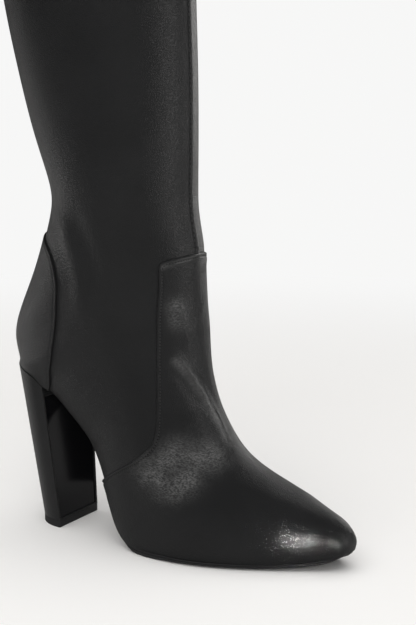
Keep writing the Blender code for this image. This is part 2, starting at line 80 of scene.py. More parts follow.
FOOT_SECTIONS = (
    # low_x low_z top_x top_z ridge edge_out edge_in side_out side_in rise upright low_full top_full
    Section(.988, .072, .9930, .101, .115, -.070, .160, -.069, .162, .10, .90, .55, .55),  # toe tip
    Section(.981, .067, .9945, .142, .114, -.026, .192, -.022, .197, .40, .90, .55, .55),
    Section(.967, .058, .9880, .180, .112, .012, .218, .020, .226, .42, .90, .55, .55),
    Section(.946, .045, .9640, .226, .108, .044, .250, .056, .259, .42, .90, .55, .56),
    Section(.902, .025, .9110, .276, .100, .102, .306, .119, .317, .42, .90, .55, .58),
    Section(.830, .008, .8420, .342, .088, .220, .393, .238, .406, .38, .90, .55, .59),
    Section(.748, .002, .7760, .402, .075, .332, .451, .352, .466, .33, .90, .55, .58),
    Section(.667, .000, .7140, .472, .062, .420, .470, .442, .490, .28, .90, .55, .54),
    Section(.592, .000, .6640, .570, .050, .462, .435, .490, .473, .26, .90, .55, .50),  # ball
    Section(.524, .000, .6310, .688, .038, .468, .378, .498, .442, .28, .85, .55, .48),
    Section(.446, .006, .6085, .802, .025, .435, .325, .475, .415, .33, .80, .55, .48),
    Section(.390, .104, .5940, .905, .019, .380, .281, .450, .402, .38, .75, .55, .48),
    Section(.345, .338, .5840, .996, .013, .340, .256, .432, .398, .42, .70, .55, .50),  # waist
    Section(.294, .572, .5775, 1.085, .010, .315, .256, .425, .402, .44, .70, .55, .52),
    Section(.232, .724, .5730, 1.170, .008, .318, .281, .425, .412, .46, .70, .58, .54),
    Section(.170, .856, .5695, 1.250, .005, .328, .308, .432, .425, .50, .75, .60, .54),  # breast
    Section(.117, .909, .5665, 1.318, .002, .328, .320, .442, .438, .53, .85, .62, .54),  # seat
)
SHAFT_SECTIONS = (
    Section(.022, .000, .5612, 1.466, .000, .0, .0, .465, .462, .60, .00, .66, .54),  # seat back
    Section(.006, .021, .5607, 1.508, .0, .0, .0, .472, .468, .60, .00, .66, .54),
    Section(.018, .044, .5600, 1.555, .0, .0, .0, .480, .475, .58, .00, .66, .54),
    Section(.046, .069, .5580, 1.606, .0, .0, .0, .490, .482, .57, .00, .65, .54),
    Section(.079, .097, .5525, 1.669, .0, .0, .0, .502, .492, .55, .00, .62, .54),
    Section(.110, .127, .5460, 1.742, .0, .0, .0, .515, .505, .53, .00, .60, .54),
    Section(.134, .155, .5415, 1.814, .0, .0, .0, .530, .518, .52, .00, .58, .54),  # ankle
    Section(.147, .180, .5392, 1.890, .0, .0, .0, .542, .528, .51, .00, .57, .55),
    Section(.131, .208, .5400, 2.000, .0, .0, .0, .555, .538, .50, .00, .56, .55),
    Section(.094, .247, .5412, 2.178, .0, .0, .0, .572, .555, .50, .00, .56, .55),
    Section(.046, .312, .5400, 2.500, .0, .0, .0, .598, .585, .50, .00, .56, .55),
    Section(.0025, .387, .5342, 2.881, .0, .0, .0, .625, .612, .50, .00, .56, .55),
    Section(-.025, .478, .5270, 3.347, .0, .0, .0, .656, .644, .50, .00, .56, .55),  # calf
    Section(-.017, .578, .5240, 3.856, .0, .0, .0, .675, .669, .50, .00, .56, .55),
    Section(.000, .669, .5290, 4.322, .0, .0, .0, .700, .700, .50, .00, .56, .55),  # knee
    Section(-.017, .768, .5415, 4.847, .0, .0, .0, .762, .762, .50, .00, .56, .55),
    Section(-.050, .876, .5580, 5.440, .0, .0, .0, .831, .831, .50, .00, .56, .55),
    Section(-.083, 1.00, .5750, 6.120, .0, .0, .0, .888, .888, .50, .00, .56, .55),  # topline
)
SEAT_ARC_STEPS = 4        # sections round the back quarter of the seat
SEAT_SAMPLES = 9          # points in a mean over sections at the back of the seat
SEAT_MEAN = 0.20          # in u, half the stretch that such a mean is taken over
SEAT_REACH = 0.45         # in u, how far from the back of the seat means are taken
SEAT_EDGE = 0.25          # in v, how far from the edge they come in


def seat_arc():
    """Sections that carry the feather edge round the back of the seat in a quarter ellipse."""
    start = np.array(FOOT_SECTIONS[-1])
    end = np.array(SHAFT_SECTIONS[0])
    end[1] = 1.0
    rows = []
    for step in range(1, SEAT_ARC_STEPS + 1):
        turn = math.pi / 2 * step / SEAT_ARC_STEPS
        row = start + (end - start) * math.sin(turn)
        row[5:7] = start[5:7] * math.cos(turn)
        row[10] = start[10] * (1 - step / SEAT_ARC_STEPS)
        rows.append(row)
    return rows


def running_total(legs):
    """Sums of legs from the first to each, with 0 before them."""
    return np.concatenate([[0], np.cumsum(legs)])


def leg_lengths(line):
    """Lengths of the legs of a line of points."""
    return np.linalg.norm(np.diff(line, axis=0), axis=-1)


def natural_spline(knots, values):
    """A natural cubic spline through rows of values, as a function of the parameter."""
    step = np.diff(knots)
    count = len(knots)
    matrix = np.eye(count)
    right = np.zeros_like(values)
    for i in range(1, count - 1):
        matrix[i, i - 1:i + 2] = step[i - 1], 2 * (step[i - 1] + step[i]), step[i]
        slope_after = (values[i + 1] - values[i]) / step[i]
        slope_before = (values[i] - values[i - 1]) / step[i - 1]
        right[i] = 6 * (slope_after - slope_before)
    bend = np.linalg.solve(matrix, right)

    def spline(at):
        at = np.clip(np.asarray(at, float), knots[0], knots[-1])
        i = np.clip(np.searchsorted(knots, at) - 1, 0, count - 2)
        h = step[i][..., None]
        a = (knots[i + 1] - at)[..., None] / h
        b = 1 - a
        curve = (a ** 3 - a) * bend[i] + (b ** 3 - b) * bend[i + 1]
        return a * values[i] + b * values[i + 1] + curve * h ** 2 / 6

    return spline


def metres(rows, on_shaft):
    """Table rows in fractions, turned into metres (the last four columns stay as they are)."""
    rows = np.array(rows, float)
    seat = SOLE + HEEL_HEIGHT
    rows[:, [0, 2]] = HEEL_BACK + rows[:, [0, 2]] * FOOT_LENGTH
    rows[:, 1] = seat + rows[:, 1] * SHAFT_HEIGHT if on_shaft else SOLE + rows[:, 1] * HEEL_HEIGHT
    rows[:, 3] *= INSTEP_HEIGHT
    rows[:, 4:9] *= BALL_WIDTH
    return rows


def smooth_step(start, end, at):
    """Rises smoothly from 0 at the start to 1 at the end."""
    share = np.clip((np.asarray(at, float) - start) / (end - start), 0, 1)
    return share * share * (3 - 2 * share)


def bezier(a, b, c, d, t):
    """A cubic curve's value at t, from its four control values."""
    t = np.clip(t, 0, 1)
    return a * (1 - t) ** 3 + 3 * b * t * (1 - t) ** 2 + 3 * c * t ** 2 * (1 - t) + d * t ** 3


class Last:
    """The outer surface of the upper: u runs from the toe tip over the heel seat to the topline,
    v from the outer edge or the back seam (-1) over the ridge (0) to the inner edge (1)."""

    def __init__(self):
        foot = metres(list(FOOT_SECTIONS) + seat_arc(), False)
        shaft = metres(SHAFT_SECTIONS, True)
        rows = np.vstack([foot, shaft[1:]])
        low = np.hypot(*np.diff(rows[:, :2], axis=0).T)
        top = np.hypot(*np.diff(rows[:, 2:4], axis=0).T)
        self.knots = running_total(np.sqrt((low + top) / 2))
        seat = len(foot)
        self.seat_back = self.knots[seat - 1]
        self.topline = self.knots[-1]
        corner = [0, 1, 5, 6, 10]
        smooth = [2, 3, 4, 7, 8, 9, 11, 12]
        self.foot_columns = natural_spline(self.knots[:seat], foot[:, corner])
        self.shaft_columns = natural_spline(self.knots[seat - 1:], shaft[:, corner])
        self.smooth_columns = natural_spline(self.knots, rows[:, smooth])

    def section(self, u):
        """The section's values at u, as a Section of arrays."""
        u = np.asarray(u, float)
        on_foot = (u <= self.seat_back)[..., None]
        foot = self.foot_columns(np.minimum(u, self.seat_back))
        shaft = self.shaft_columns(np.maximum(u, self.seat_back))
        corner = np.where(on_foot, foot, shaft)
        corner[..., 2:4] = np.where(on_foot, corner[..., 2:4], 0)
        smooth = self.smooth_columns(u)
        low_x, low_z, edge_out, edge_in, upright = np.moveaxis(corner, -1, 0)
        low_z = np.maximum(low_z, SOLE)
        smooth = np.moveaxis(smooth, -1, 0)
        top_x, top_z, ridge, side_out, side_in, rise, low_full, top_full = smooth
        return Section(low_x, low_z, top_x, top_z, ridge, edge_out, edge_in, side_out, side_in,
                       rise, upright, low_full, top_full)

    def point(self, u, v):
        """Points of the surface, means over neighbouring sections round the back of the seat."""
        u, v = np.broadcast_arrays(np.asarray(u, float), np.asarray(v, float))
        near = np.clip(1 - ((u - self.seat_back) / SEAT_REACH) ** 2, 0, 1) ** 2
        inside = smooth_step(0, SEAT_EDGE, 1 - np.abs(v))
        shares = np.linspace(-1, 1, SEAT_SAMPLES + 2)[1:-1]
        weights = (1 - shares ** 2) ** 2
        mean = sum(weight * self.drawn(u + share * SEAT_MEAN * near * inside, v)
                   for share, weight in zip(shares, weights))
        return mean / weights.sum()

    def drawn(self, u, v):
        """Points as the sections draw them."""
        s = self.section(u)
        outer = v < 0
        sign = np.where(outer, -1.0, 1.0)
        edge = sign * np.where(outer, s.edge_out, s.edge_in)
        side = sign * np.where(outer, s.side_out, s.side_in)
        height = np.hypot(s.top_x - s.low_x, s.top_z - s.low_z)
        widest = s.rise * height
        up = 1 - np.abs(v)
        lean = s.upright * math.pi / 2
        upward = np.hypot(side - edge, widest) * s.upright / 3
        sideways = np.abs(side - edge) * s.low_full * (1 - s.upright)
        reach = upward + sideways
        y_low = bezier(edge, edge + sign * np.cos(lean) * reach, side, side, up * 2)
        a_low = bezier(0, np.sin(lean) * reach, widest * (1 - s.low_full), widest, up * 2)
        y_top = bezier(side, side, s.ridge + (side - s.ridge) * s.top_full, s.ridge, up * 2 - 1)
        a_top = bezier(widest, widest + (height - widest) * s.top_full, height, height, up * 2 - 1)
        y = np.where(up < 0.5, y_low, y_top)
        along = np.where(up < 0.5, a_low, a_top) / height
        x = s.low_x + (s.top_x - s.low_x) * along
        z = s.low_z + (s.top_z - s.low_z) * along
        return np.stack([x, y, z], -1)

    def at(self, number):
        """The parameter u at a section's number, which may lie between two."""
        return float(np.interp(number, range(len(self.knots)), self.knots))

    def normal(self, u, v):
        """Outward unit normals."""
        u, v = np.broadcast_arrays(np.asarray(u, float), np.asarray(v, float))
        reach_u, reach_v = 0.003, 0.004
        along = (self.point(np.minimum(u + reach_u, self.topline), v)
                 - self.point(np.maximum(u - reach_u, 0), v))
        across = (self.point(u, np.minimum(v + reach_v, 1))
                  - self.point(u, np.maximum(v - reach_v, -1)))
        normal = np.cross(across, along)
        return normal / np.maximum(np.linalg.norm(normal, axis=-1), 1e-12)[..., None]


LAST = Last()


# --- Meshes on the last ---------------------------------------------------------------------

# Folds that the leather keeps, each through a few places on the last: a section's number, which
# may lie between two sections, and v. The leather swells, or sinks where the height is negative,
# by a height over a width, both in millimetres.
Fold = namedtuple("Fold", "height width places")

FOLDS = (
    # fuller down the front of the ankle, along the toe's outer side and over the toe
    Fold(1.3, 8.0, ((27.00, 0.120), (24.00, 0.130), (20.00, 0.130), (16.00, 0.130), (13.50, 0.120),
                    (11.50, 0.090))),
    Fold(1.5, 7.5, ((7.60, -0.600), (6.25, -0.680), (5.37, -0.705), (4.50, -0.722), (3.30, -0.690),
                    (2.30, -0.620))),
    Fold(1.0, 8.0, ((5.60, 0.080), (4.20, 0.100), (3.60, 0.100), (2.60, 0.050), (1.20, 0.000))),
    # round the back of the ankle
    Fold(1.3, 5.5, ((26.90, -0.690), (25.73, -0.617), (24.54, -0.560), (22.98, -0.527),
                    (21.29, -0.525), (18.84, -0.550))),
    Fold(-1.0, 5.5, ((27.00, -0.590), (25.60, -0.530), (23.90, -0.478), (21.17, -0.468))),
    # down the tab, from its outer side to the instep
    Fold(0.55, 2.8, ((17.49, -0.155), (15.86, -0.140), (14.61, -0.122), (13.71, -0.115),
                     (12.79, -0.105))),
    Fold(1.35, 2.8, ((14.60, -0.262), (13.30, -0.190), (12.51, -0.150), (11.77, -0.118),
                     (11.26, -0.098), (10.77, -0.076), (10.12, -0.056), (9.46, -0.036),
                     (9.03, -0.028), (8.16, -0.038), (7.60, -0.045))),
    Fold(-1.00, 3.0, ((13.60, -0.255), (12.51, -0.202), (11.77, -0.170), (11.26, -0.150),
                      (10.77, -0.128), (10.12, -0.108), (9.46, -0.087), (8.90, -0.078))),
    Fold(0.30, 2.2, ((17.20, 0.110), (16.55, 0.075), (15.44, 0.008), (14.42, -0.042),
                     (13.60, -0.080))),
    Fold(0.30, 2.6, ((22.40, 0.180), (21.79, 0.120), (21.02, 0.018), (20.51, -0.045),
                     (19.80, -0.090))),
    # under the tab's top edge
    Fold(0.45, 1.5, ((22.05, -0.205), (22.10, -0.150), (22.16, -0.070), (22.12, 0.060))),
    # across the vamp, where it bends with the foot
    Fold(-0.50, 1.7, ((10.20, -0.425), (9.77, -0.390), (9.46, -0.362), (9.10, -0.333),
                      (8.75, -0.297), (8.50, -0.265), (8.25, -0.228), (7.96, -0.175),
                      (7.67, -0.115))),
    Fold(0.45, 3.6, ((10.55, -0.412), (9.89, -0.348), (9.35, -0.287), (8.85, -0.228),
                     (8.37, -0.160), (8.07, -0.080))),
    Fold(-0.45, 2.6, ((11.30, -0.470), (10.91, -0.460), (10.36, -0.453), (9.84, -0.440),
                      (9.28, -0.422), (8.70, -0.400))),
    Fold(0.35, 3.0, ((10.95, -0.425), (10.58, -0.430), (10.10, -0.425), (9.59, -0.410),
                     (9.00, -0.370))),
    Fold(0.22, 1.5, ((8.73, -0.422), (8.25, -0.402), (7.82, -0.370))),
    Fold(-0.30, 2.4, ((11.40, -0.345), (11.24, -0.338), (10.58, -0.285), (9.87, -0.230))),
    Fold(0.30, 5.0, ((7.60, -0.177), (6.16, -0.157), (5.26, -0.147), (4.66, -0.120))),
)

FOLD_POINTS = 16          # along a fold, and along a patch's line
FOLD_REACH = 2.5          # widths from a fold's line beyond which it isn't felt
FOLD_END = 0.3            # share of its length over which a fold runs out, at either end
FINE_STEPS = 1500         # points that lengths along the last are measured between


def curve_through(places, count):
    """Parameters (u, v) at equal steps along a smooth curve through places."""
    places = np.array([(LAST.at(number), v) for number, v in places])
    knots = running_total(leg_lengths(LAST.point(*places.T)))
    return natural_spline(knots, places)(np.linspace(0, knots[-1], count))


def nearest(points, line):
    """Each point's distance from a line of points, and how far along the line it is, 0 to 1."""
    distance = np.full(len(points), np.inf)
    share = np.zeros(len(points))
    for i, (start, leg) in enumerate(zip(line, np.diff(line, axis=0))):
        along = np.clip((points - start) @ leg / (leg @ leg), 0, 1)
        gap = np.linalg.norm(points - start - along[:, None] * leg, axis=1)
        nearer = gap < distance
        distance[nearer] = gap[nearer]
        share[nearer] = (i + along[nearer]) / (len(line) - 1)
    return distance, share


def fold_height(points):
    """How far the leather's folds lift or sink its surface at points of it."""
    height = np.zeros(len(points))
    for fold in FOLDS:
        line = LAST.point(*curve_through(fold.places, FOLD_POINTS).T)
        width = fold.width * MM
        reach = FOLD_REACH * width
        near = np.all((points > line.min(0) - reach) & (points < line.max(0) + reach), 1)
        distance, share = nearest(points[near], line)
        ends = smooth_step(0, FOLD_END, share) * smooth_step(0, FOLD_END, 1 - share)
        height[near] += fold.height * MM * ends * np.exp(-(distance / width) ** 2)
    return height


def leather_points(u, v, lift):
    """Points of the folded surface at parameters, as a list, lifted off it by millimetres."""
    u, v, lift = (values.ravel() for values in np.broadcast_arrays(u, v, lift))
    points = LAST.point(u, v)
    return points + LAST.normal(u, v) * (fold_height(points) + lift * MM)[:, None]


def rows_between(start, end, step, sides=(-0.5, 0.5)):
    """Parameters u from one to another, a step in metres apart where v has the sides' values."""
    fine = np.linspace(start, end, FINE_STEPS)
    length = running_total(leg_lengths(LAST.point(fine[:, None], np.array(sides))).mean(1))
    return np.interp(np.linspace(0, length[-1], round(length[-1] / step) + 1), length, fine)


def stretch(u, v):
    """Metres of the surface along a row, for each unit of v, at parameters."""
    reach = 0.004
    low, high = np.maximum(v - reach, -1), np.minimum(v + reach, 1)
    return np.linalg.norm(LAST.point(u, high) - LAST.point(u, low), axis=-1) / (high - low)


def across(u, start, end, from_start, from_end, count):
    """Each row's v from start to end: at millimetres from either border, and evenly between."""
    first = start + np.outer(MM / stretch(u, start), from_start)
    last = end - np.outer(MM / stretch(u, end), from_end[::-1])
    share = np.linspace(0, 1, count + 1)[1:-1]
    return np.hstack([first, first[:, -1:] + (last[:, :1] - first[:, -1:]) * share, last])


def grid_faces(rows, columns):
    """Faces of a grid of points, outwards where v runs along the rows and u from row to row."""
    corner = (np.arange(rows - 1)[:, None] * columns + np.arange(columns - 1)).ravel()
    return np.stack([corner, corner + 1, corner + columns + 1, corner + columns], 1).tolist()


def in_scene(name, data):
    """An object of some data, linked to the scene."""
    made = bpy.data.objects.new(name, data)
    bpy.context.scene.collection.objects.link(made)
    return made


def mesh_piece(name, points, faces, materials, indices=None, angle=50):
    """An object of points and faces, shaded smooth up to edges sharper than an angle."""
    data = bpy.data.meshes.new(name)
    data.from_pydata(np.asarray(points).tolist(), [], faces)
    for material in materials:
        data.materials.append(material)
    if indices is not None:
        data.polygons.foreach_set("material_index", indices)
    data.shade_smooth()
    data.set_sharp_from_angle(angle=math.radians(angle))
    return in_scene(name, data)


def shell(name, outer, inner, faces, materials):
    """A closed piece between its outer and inner points. Its rim and back take the second
    material."""
    count = len(outer)
    edges = {(a, b) for face in faces for a, b in zip(face, face[1:] + face[:1])}
    rim = sorted((b, a, a + count, b + count) for a, b in edges if (b, a) not in edges)
    back = [[i + count for i in reversed(face)] for face in faces]
    indices = [0] * len(faces) + [1] * (len(back) + len(rim))
    return mesh_piece(name, np.vstack([outer, inner]), faces + back + rim, materials, indices)


def to_frame(piece, slot, *nodes):
    """Hands a finished piece to the frame, with the nodes that it stands for."""
    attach(piece, "root")
    if nodes:
        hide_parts(*nodes)
    return piece


def bevelled(piece, width, angle):
    """Rounds a piece's edges that are sharper than an angle."""
    modifier = piece.modifiers.new("Bevel", "BEVEL")
    modifier.width = width
    modifier.segments = BEVEL_SEGMENTS
    modifier.limit_method = "ANGLE"
    modifier.angle_limit = math.radians(angle)
    return applied(piece)


def applied(piece):
    """Turns a piece and its modifiers into a plain mesh."""
    evaluated = piece.evaluated_get(bpy.context.evaluated_depsgraph_get())
    mesh = bpy.data.meshes.new_from_object(evaluated)
    piece.modifiers.clear()
    piece.data = mesh
    return piece


# --- The shaft ------------------------------------------------------------------------------

SHAFT_START = 9.0         # the panels run on under the vamp from this section
SHAFT_STEP = 0.0026       # from a row of faces to the next
LAP_EDGE = 0.026          # v of the outer panel's folded edge, which lies over the inner panel
LAP_COLUMNS = 76          # faces from the lap to the back
BACK_SEAM = (0, 0.3, 0.8, 1.6, 3.0)        # columns, in millimetres from the back seam
BACK_SEAM_LIFT = (-0.55, -0.22, -0.05, 0, 0)

# Columns of a panel from its border, in millimetres: how far in from the border, and the lifts
# of its outer and inner faces
Column = namedtuple("Column", "inside top under")

OUTER_LAP = (
    Column(0.0, 0.50, 0.10),
    Column(0.2, 0.90, 0.10),
    Column(0.6, 1.15, 0.10),
    Column(1.4, 1.25, 0.10),
    Column(3.0, 1.15, 0.10),
    Column(3.8, 0.85, 0.10),   # drawn in by the stitches
    Column(4.4, 0.85, 0.10),
    Column(5.1, 1.00, 0.10),
    Column(6.3, 0.75, -0.35),
    Column(8.0, 0.30, -0.90),
    Column(11.0, 0.05, -1.15),
    Column(14.0, 0.00, -1.20),
)
UNDER_LAP = 4.5           # the inner panel starts this far under the lap, in millimetres
THICKNESS = 1.2           # of the shaft's leather, in millimetres
LINING_TOP = -1.35        # lifts of the lining's two faces, in millimetres
LINING_UNDER = -2.0
LINING_START = 0.3        # section that it starts from, at the toe
LINING_STEP = 0.007       # from a row of faces to the next
LINING_COLUMNS = 64

# The leather that binds the topline, from outside over the edge to inside: millimetres below
# the topline, and lifts of its outer face
BINDING = ((5.0, 0.05), (4.8, 0.35), (4.0, 0.50), (3.0, 0.30), (2.0, 0.50), (0.6, 0.55),
           (0.1, 0.30), (0.0, -0.30), (0.0, -1.60), (0.1, -2.20), (0.6, -2.45), (2.5, -2.45),
           (6.8, -2.35), (7.0, -2.05))
BINDING_COLUMNS = 180


def panel(name, u, v, top, under, materials):
    """A panel of the shaft from rows of parameters, and its columns' lifts in millimetres."""
    outer = leather_points(u[:, None], v, top)
    inner = leather_points(u[:, None], v, under)
    return shell(name, outer, inner, grid_faces(*v.shape), materials)


def make_shaft(materials):
    u = rows_between(LAST.at(SHAFT_START), LAST.topline, SHAFT_STEP)
    seam = np.array(BACK_SEAM)
    inside, top, under = (np.array(values) for values in zip(*OUTER_LAP))
    plain = np.zeros(LAP_COLUMNS - 1)

    v = across(u, -1, LAP_EDGE, seam, inside, LAP_COLUMNS)
    lifts = np.concatenate([BACK_SEAM_LIFT, plain, top[::-1]])
    unders = np.concatenate([np.full(len(seam), -THICKNESS), plain - THICKNESS, under[::-1]])
    outer = panel("shaft_outer_panel", u, v, lifts, unders, materials)

    start = LAP_EDGE - UNDER_LAP * MM / stretch(u, np.array(LAP_EDGE))
    v = across(u, 0, 1, np.array([0.0]), seam, LAP_COLUMNS)
    v = start[:, None] + (1 - start[:, None]) * v
    lifts = np.concatenate([[0], plain, BACK_SEAM_LIFT[::-1]])
    inner = panel("shaft_inner_panel", u, v, lifts, np.full(len(lifts), -THICKNESS), materials)
    return outer, inner


def make_lining(material):
    u = rows_between(LAST.at(LINING_START), LAST.topline, LINING_STEP)
    v = np.tile(np.linspace(-1, 1, LINING_COLUMNS + 1), (len(u), 1))
    return panel("lining", u, v, LINING_TOP, LINING_UNDER, [material, material])


def metres_up(v):
    """Metres of the surface up the shaft at the topline, for each unit of u."""
    reach = 0.02
    up = LAST.point(LAST.topline, v) - LAST.point(LAST.topline - reach, v)
    return np.linalg.norm(up, axis=-1) / reach


def make_binding(material):
    v = np.linspace(-1, 1, BINDING_COLUMNS + 1)[:-1]
    down, lift = np.array(BINDING).T
    u = LAST.topline - down[:, None] * MM / metres_up(v)
    points = leather_points(u, v[None], lift[:, None])
    around, rows = len(v), len(BINDING)
    faces = []
    for row in range(rows):
        for i in range(around):
            j = (i + 1) % around
            low, high = row * around, (row + 1) % rows * around
            faces.append([low + i, low + j, high + j, high + i])
    return mesh_piece("topline_binding", points, faces, [material])


# --- Leather laid over the upper --------------------------------------------------------------

# The vamp's edge from the feather edge under the waist, outside, up the tab and down again
# inside, as places on the last
VAMP_EDGE = (
    (12.08, -1.000), (12.00, -0.880), (11.83, -0.700), (11.60, -0.570), (11.36, -0.480),
    (11.18, -0.425), (11.09, -0.385), (11.16, -0.360), (11.50, -0.341), (12.24, -0.322),
    (13.50, -0.290), (15.30, -0.258), (18.00, -0.232), (20.50, -0.222), (21.90, -0.216),
    (22.32, -0.209), (22.48, -0.196), (22.53, -0.170), (22.50, -0.100), (22.48, 0.000),
    (22.52, 0.100), (22.50, 0.180), (22.40, 0.222), (22.05, 0.238), (21.50, 0.242), (18.00, 0.248),
    (15.30, 0.258), (13.50, 0.280), (12.24, 0.300), (11.50, 0.325), (11.24, 0.360), (11.22, 0.405),
    (11.38, 0.470), (11.60, 0.560), (11.83, 0.700), (12.00, 0.880), (12.08, 1.000),
)
# Half of the counter's edge, from the feather edge at the breast to the back seam. Here v
# counts from the feather edge or the back seam.
COUNTER_EDGE = (
    (15.09, 0.000), (15.45, 0.100), (15.89, 0.172), (16.70, 0.282), (17.57, 0.335), (18.56, 0.365),
    (20.05, 0.386), (21.57, 0.406), (22.30, 0.406), (22.99, 0.398), (23.64, 0.380), (24.28, 0.351),
    (24.90, 0.292), (25.30, 0.210), (25.54, 0.113), (25.62, 0.000),
)
EDGE_POINTS = 700         # along the vamp's edge
FARTHEST = 14.0           # millimetres from an edge beyond which its profile is flat
CUT_SNAP = 0.01           # millimetres from a cut within which points are taken to lie on it
BEYOND = 1.5              # v outside the last, which closes the outline that an edge cuts out
OVERLAY_STEP = 0.0015     # from a row of faces to the next
VAMP_END = 22.8           # the rows reach this section, past the tab's top
VAMP_COLUMNS = 130
COUNTER_ROWS = (14.9, 25.8)   # sections that the counter's rows lie between
COUNTER_REACH = 0.52      # v that its columns start from
COUNTER_COLUMNS = 40      # on either side

# Profiles of an overlay in from its edge: how far in, and the lifts of its outer and inner
# faces, in millimetres
FOLDED_EDGE = (
    Column(0.0, 0.45, 0.15),
    Column(0.2, 0.95, 0.15),
    Column(0.5, 1.25, 0.15),
    Column(1.0, 1.45, 0.15),
    Column(1.6, 1.40, 0.15),
    Column(2.0, 1.15, 0.15),
    Column(2.4, 1.00, 0.15),   # drawn in by the stitches
    Column(2.8, 1.15, 0.15),
    Column(3.4, 1.35, 0.15),
    Column(5.0, 1.30, 0.15),
    Column(9.0, 1.20, 0.10),
)
CUT_EDGE = (
    Column(0.0, 1.05, 0.15),
    Column(0.15, 1.20, 0.15),
    Column(0.9, 1.22, 0.15),
    Column(1.3, 1.05, 0.15),
    Column(1.6, 0.98, 0.15),   # drawn in by the stitches
    Column(1.9, 1.05, 0.15),
    Column(2.5, 1.20, 0.15),
    Column(6.0, 1.20, 0.10),
)


def inside_polygon(points, polygon):
    """Which points of a plane lie in a polygon."""
    inside = np.zeros(len(points), bool)
    x, y = points.T
    for (ax, ay), (bx, by) in zip(polygon, np.roll(polygon, -1, 0)):
        if ay != by:
            crosses = (ay > y) != (by > y)
            inside ^= crosses & (x < ax + (y - ay) * (bx - ax) / (by - ay))
    return inside


def trimmed(u, v, edge, polygon, profile):
    """A grid of parameters cut along an edge, with a row of points at each level of a profile.
    Returns columns of u, v and millimetres from the edge, and the faces between them."""
    grid = np.stack(np.broadcast_arrays(u[:, None], v[None]), -1).reshape(-1, 2)
    distance, _ = nearest(LAST.point(*grid.T), LAST.point(*edge.T))
    distance = np.minimum(distance / MM, FARTHEST) * np.where(inside_polygon(grid, polygon), 1, -1)
    keep = distance > -FARTHEST / 2
    mesh = bmesh.new()
    points = [mesh.verts.new((*place, s)) for place, s in zip(grid, distance)]
    for face in grid_faces(len(u), len(v)):
        if keep[face].any():
            mesh.faces.new([points[i] for i in face])
    for column in profile:
        everything = mesh.verts[:] + mesh.edges[:] + mesh.faces[:]
        bmesh.ops.bisect_plane(mesh, geom=everything, dist=CUT_SNAP,
                               plane_co=(0, 0, column.inside), plane_no=(0, 0, 1),
                               clear_inner=column.inside == 0)
    loose = [point for point in mesh.verts if not point.link_faces]
    bmesh.ops.delete(mesh, geom=loose, context="VERTS")
    mesh.verts.index_update()
    places = np.array([point.co for point in mesh.verts])
    faces = [[point.index for point in face.verts] for face in mesh.faces]
    mesh.free()
    return places, faces


def overlay(name, parts, profile, materials):
    """A piece of leather laid over the upper, from trimmed parts that join at the back seam."""
    inside, top, under = (np.array(values) for values in zip(*profile))
    points, faces = [], []
    index = {}
    for places, part_faces in parts:
        u, v, distance = places.T
        outer = leather_points(u, v, np.interp(distance, inside, top))
        inner = leather_points(u, v, np.interp(distance, inside, under))
        numbers = []
        for pair in zip(map(tuple, outer), map(tuple, inner)):
            key = tuple(round(value, 6) for value in pair[0])
            if key not in index:
                index[key] = len(points)
                points.append(pair)
            numbers.append(index[key])
        for face in part_faces:
            face = list(dict.fromkeys(numbers[i] for i in face))
            if len(face) > 2:
                faces.append(face)
    outer, inner = (np.array(layer) for layer in zip(*points))
    return shell(name, outer, inner, faces, materials)


# Patches of the vamp where the leather is creased deeper and painted paler as a painted sheen, or
# polished: a radius in millimetres round a line through places
Patch = namedtuple("Patch", "radius places")

# Along the crest of the long fold down the tab, creased, painted with a highlight and polished at
# once
STREAK = ((13.10, -0.195), (12.51, -0.162), (11.77, -0.130), (11.26, -0.110), (10.77, -0.088),
          (10.12, -0.068), (9.46, -0.047), (9.03, -0.037), (8.16, -0.045))
CREASE_AND_SHEEN_PATCHES = (
    Patch(9.5, ((10.40, -0.415), (9.91, -0.345), (9.44, -0.270), (8.85, -0.228), (8.35, -0.160))),
    Patch(8.5, ((9.75, -0.400), (8.95, -0.355), (8.60, -0.300))),
    Patch(6, ((16.30, -0.150), (15.30, -0.145))),
    Patch(4, ((21.80, 0.070), (21.40, 0.040))),
    Patch(1.5, ((22.06, -0.200), (22.12, -0.100), (22.12, -0.030))),
    Patch(2.7, STREAK),
)
POLISHED_PATCHES = (
    Patch(6.5, ((4.60, -0.462), (3.90, -0.448))),
    Patch(3.5, ((2.75, -0.390), (2.35, -0.370))),
    Patch(3, STREAK),
    Patch(1.8, ((22.02, -0.195), (22.14, -0.100), (22.12, 0.030))),
    Patch(3, ((21.50, 0.130), (19.00, 0.110), (16.50, 0.105), (14.50, 0.100))),
)


def add_patches(piece, name, patches):
    """A point attribute that is 1 in the middle of patches and fades away from it."""
    points = np.empty(len(piece.data.vertices) * 3)
    piece.data.vertices.foreach_get("co", points)
    points = points.reshape(-1, 3)
    share = np.zeros(len(points))
    for patch in patches:
        away, _ = nearest(points, LAST.point(*curve_through(patch.places, FOLD_POINTS).T))
        share = np.maximum(share, np.exp(-(away / (patch.radius * MM)) ** 2))
    attribute = piece.data.attributes.new(name, "FLOAT", "POINT")
    attribute.data.foreach_set("value", share)


def vamp_edge():
    """The vamp's edge, from its outer end under the waist to its inner one."""
    return curve_through(VAMP_EDGE, EDGE_POINTS)


def counter_edge(side):
    """The counter's edge on the outer side (-1) or the inner side (1)."""
    places = [(number, side * (1 - v)) for number, v in COUNTER_EDGE]
    return curve_through(places, EDGE_POINTS // 2)


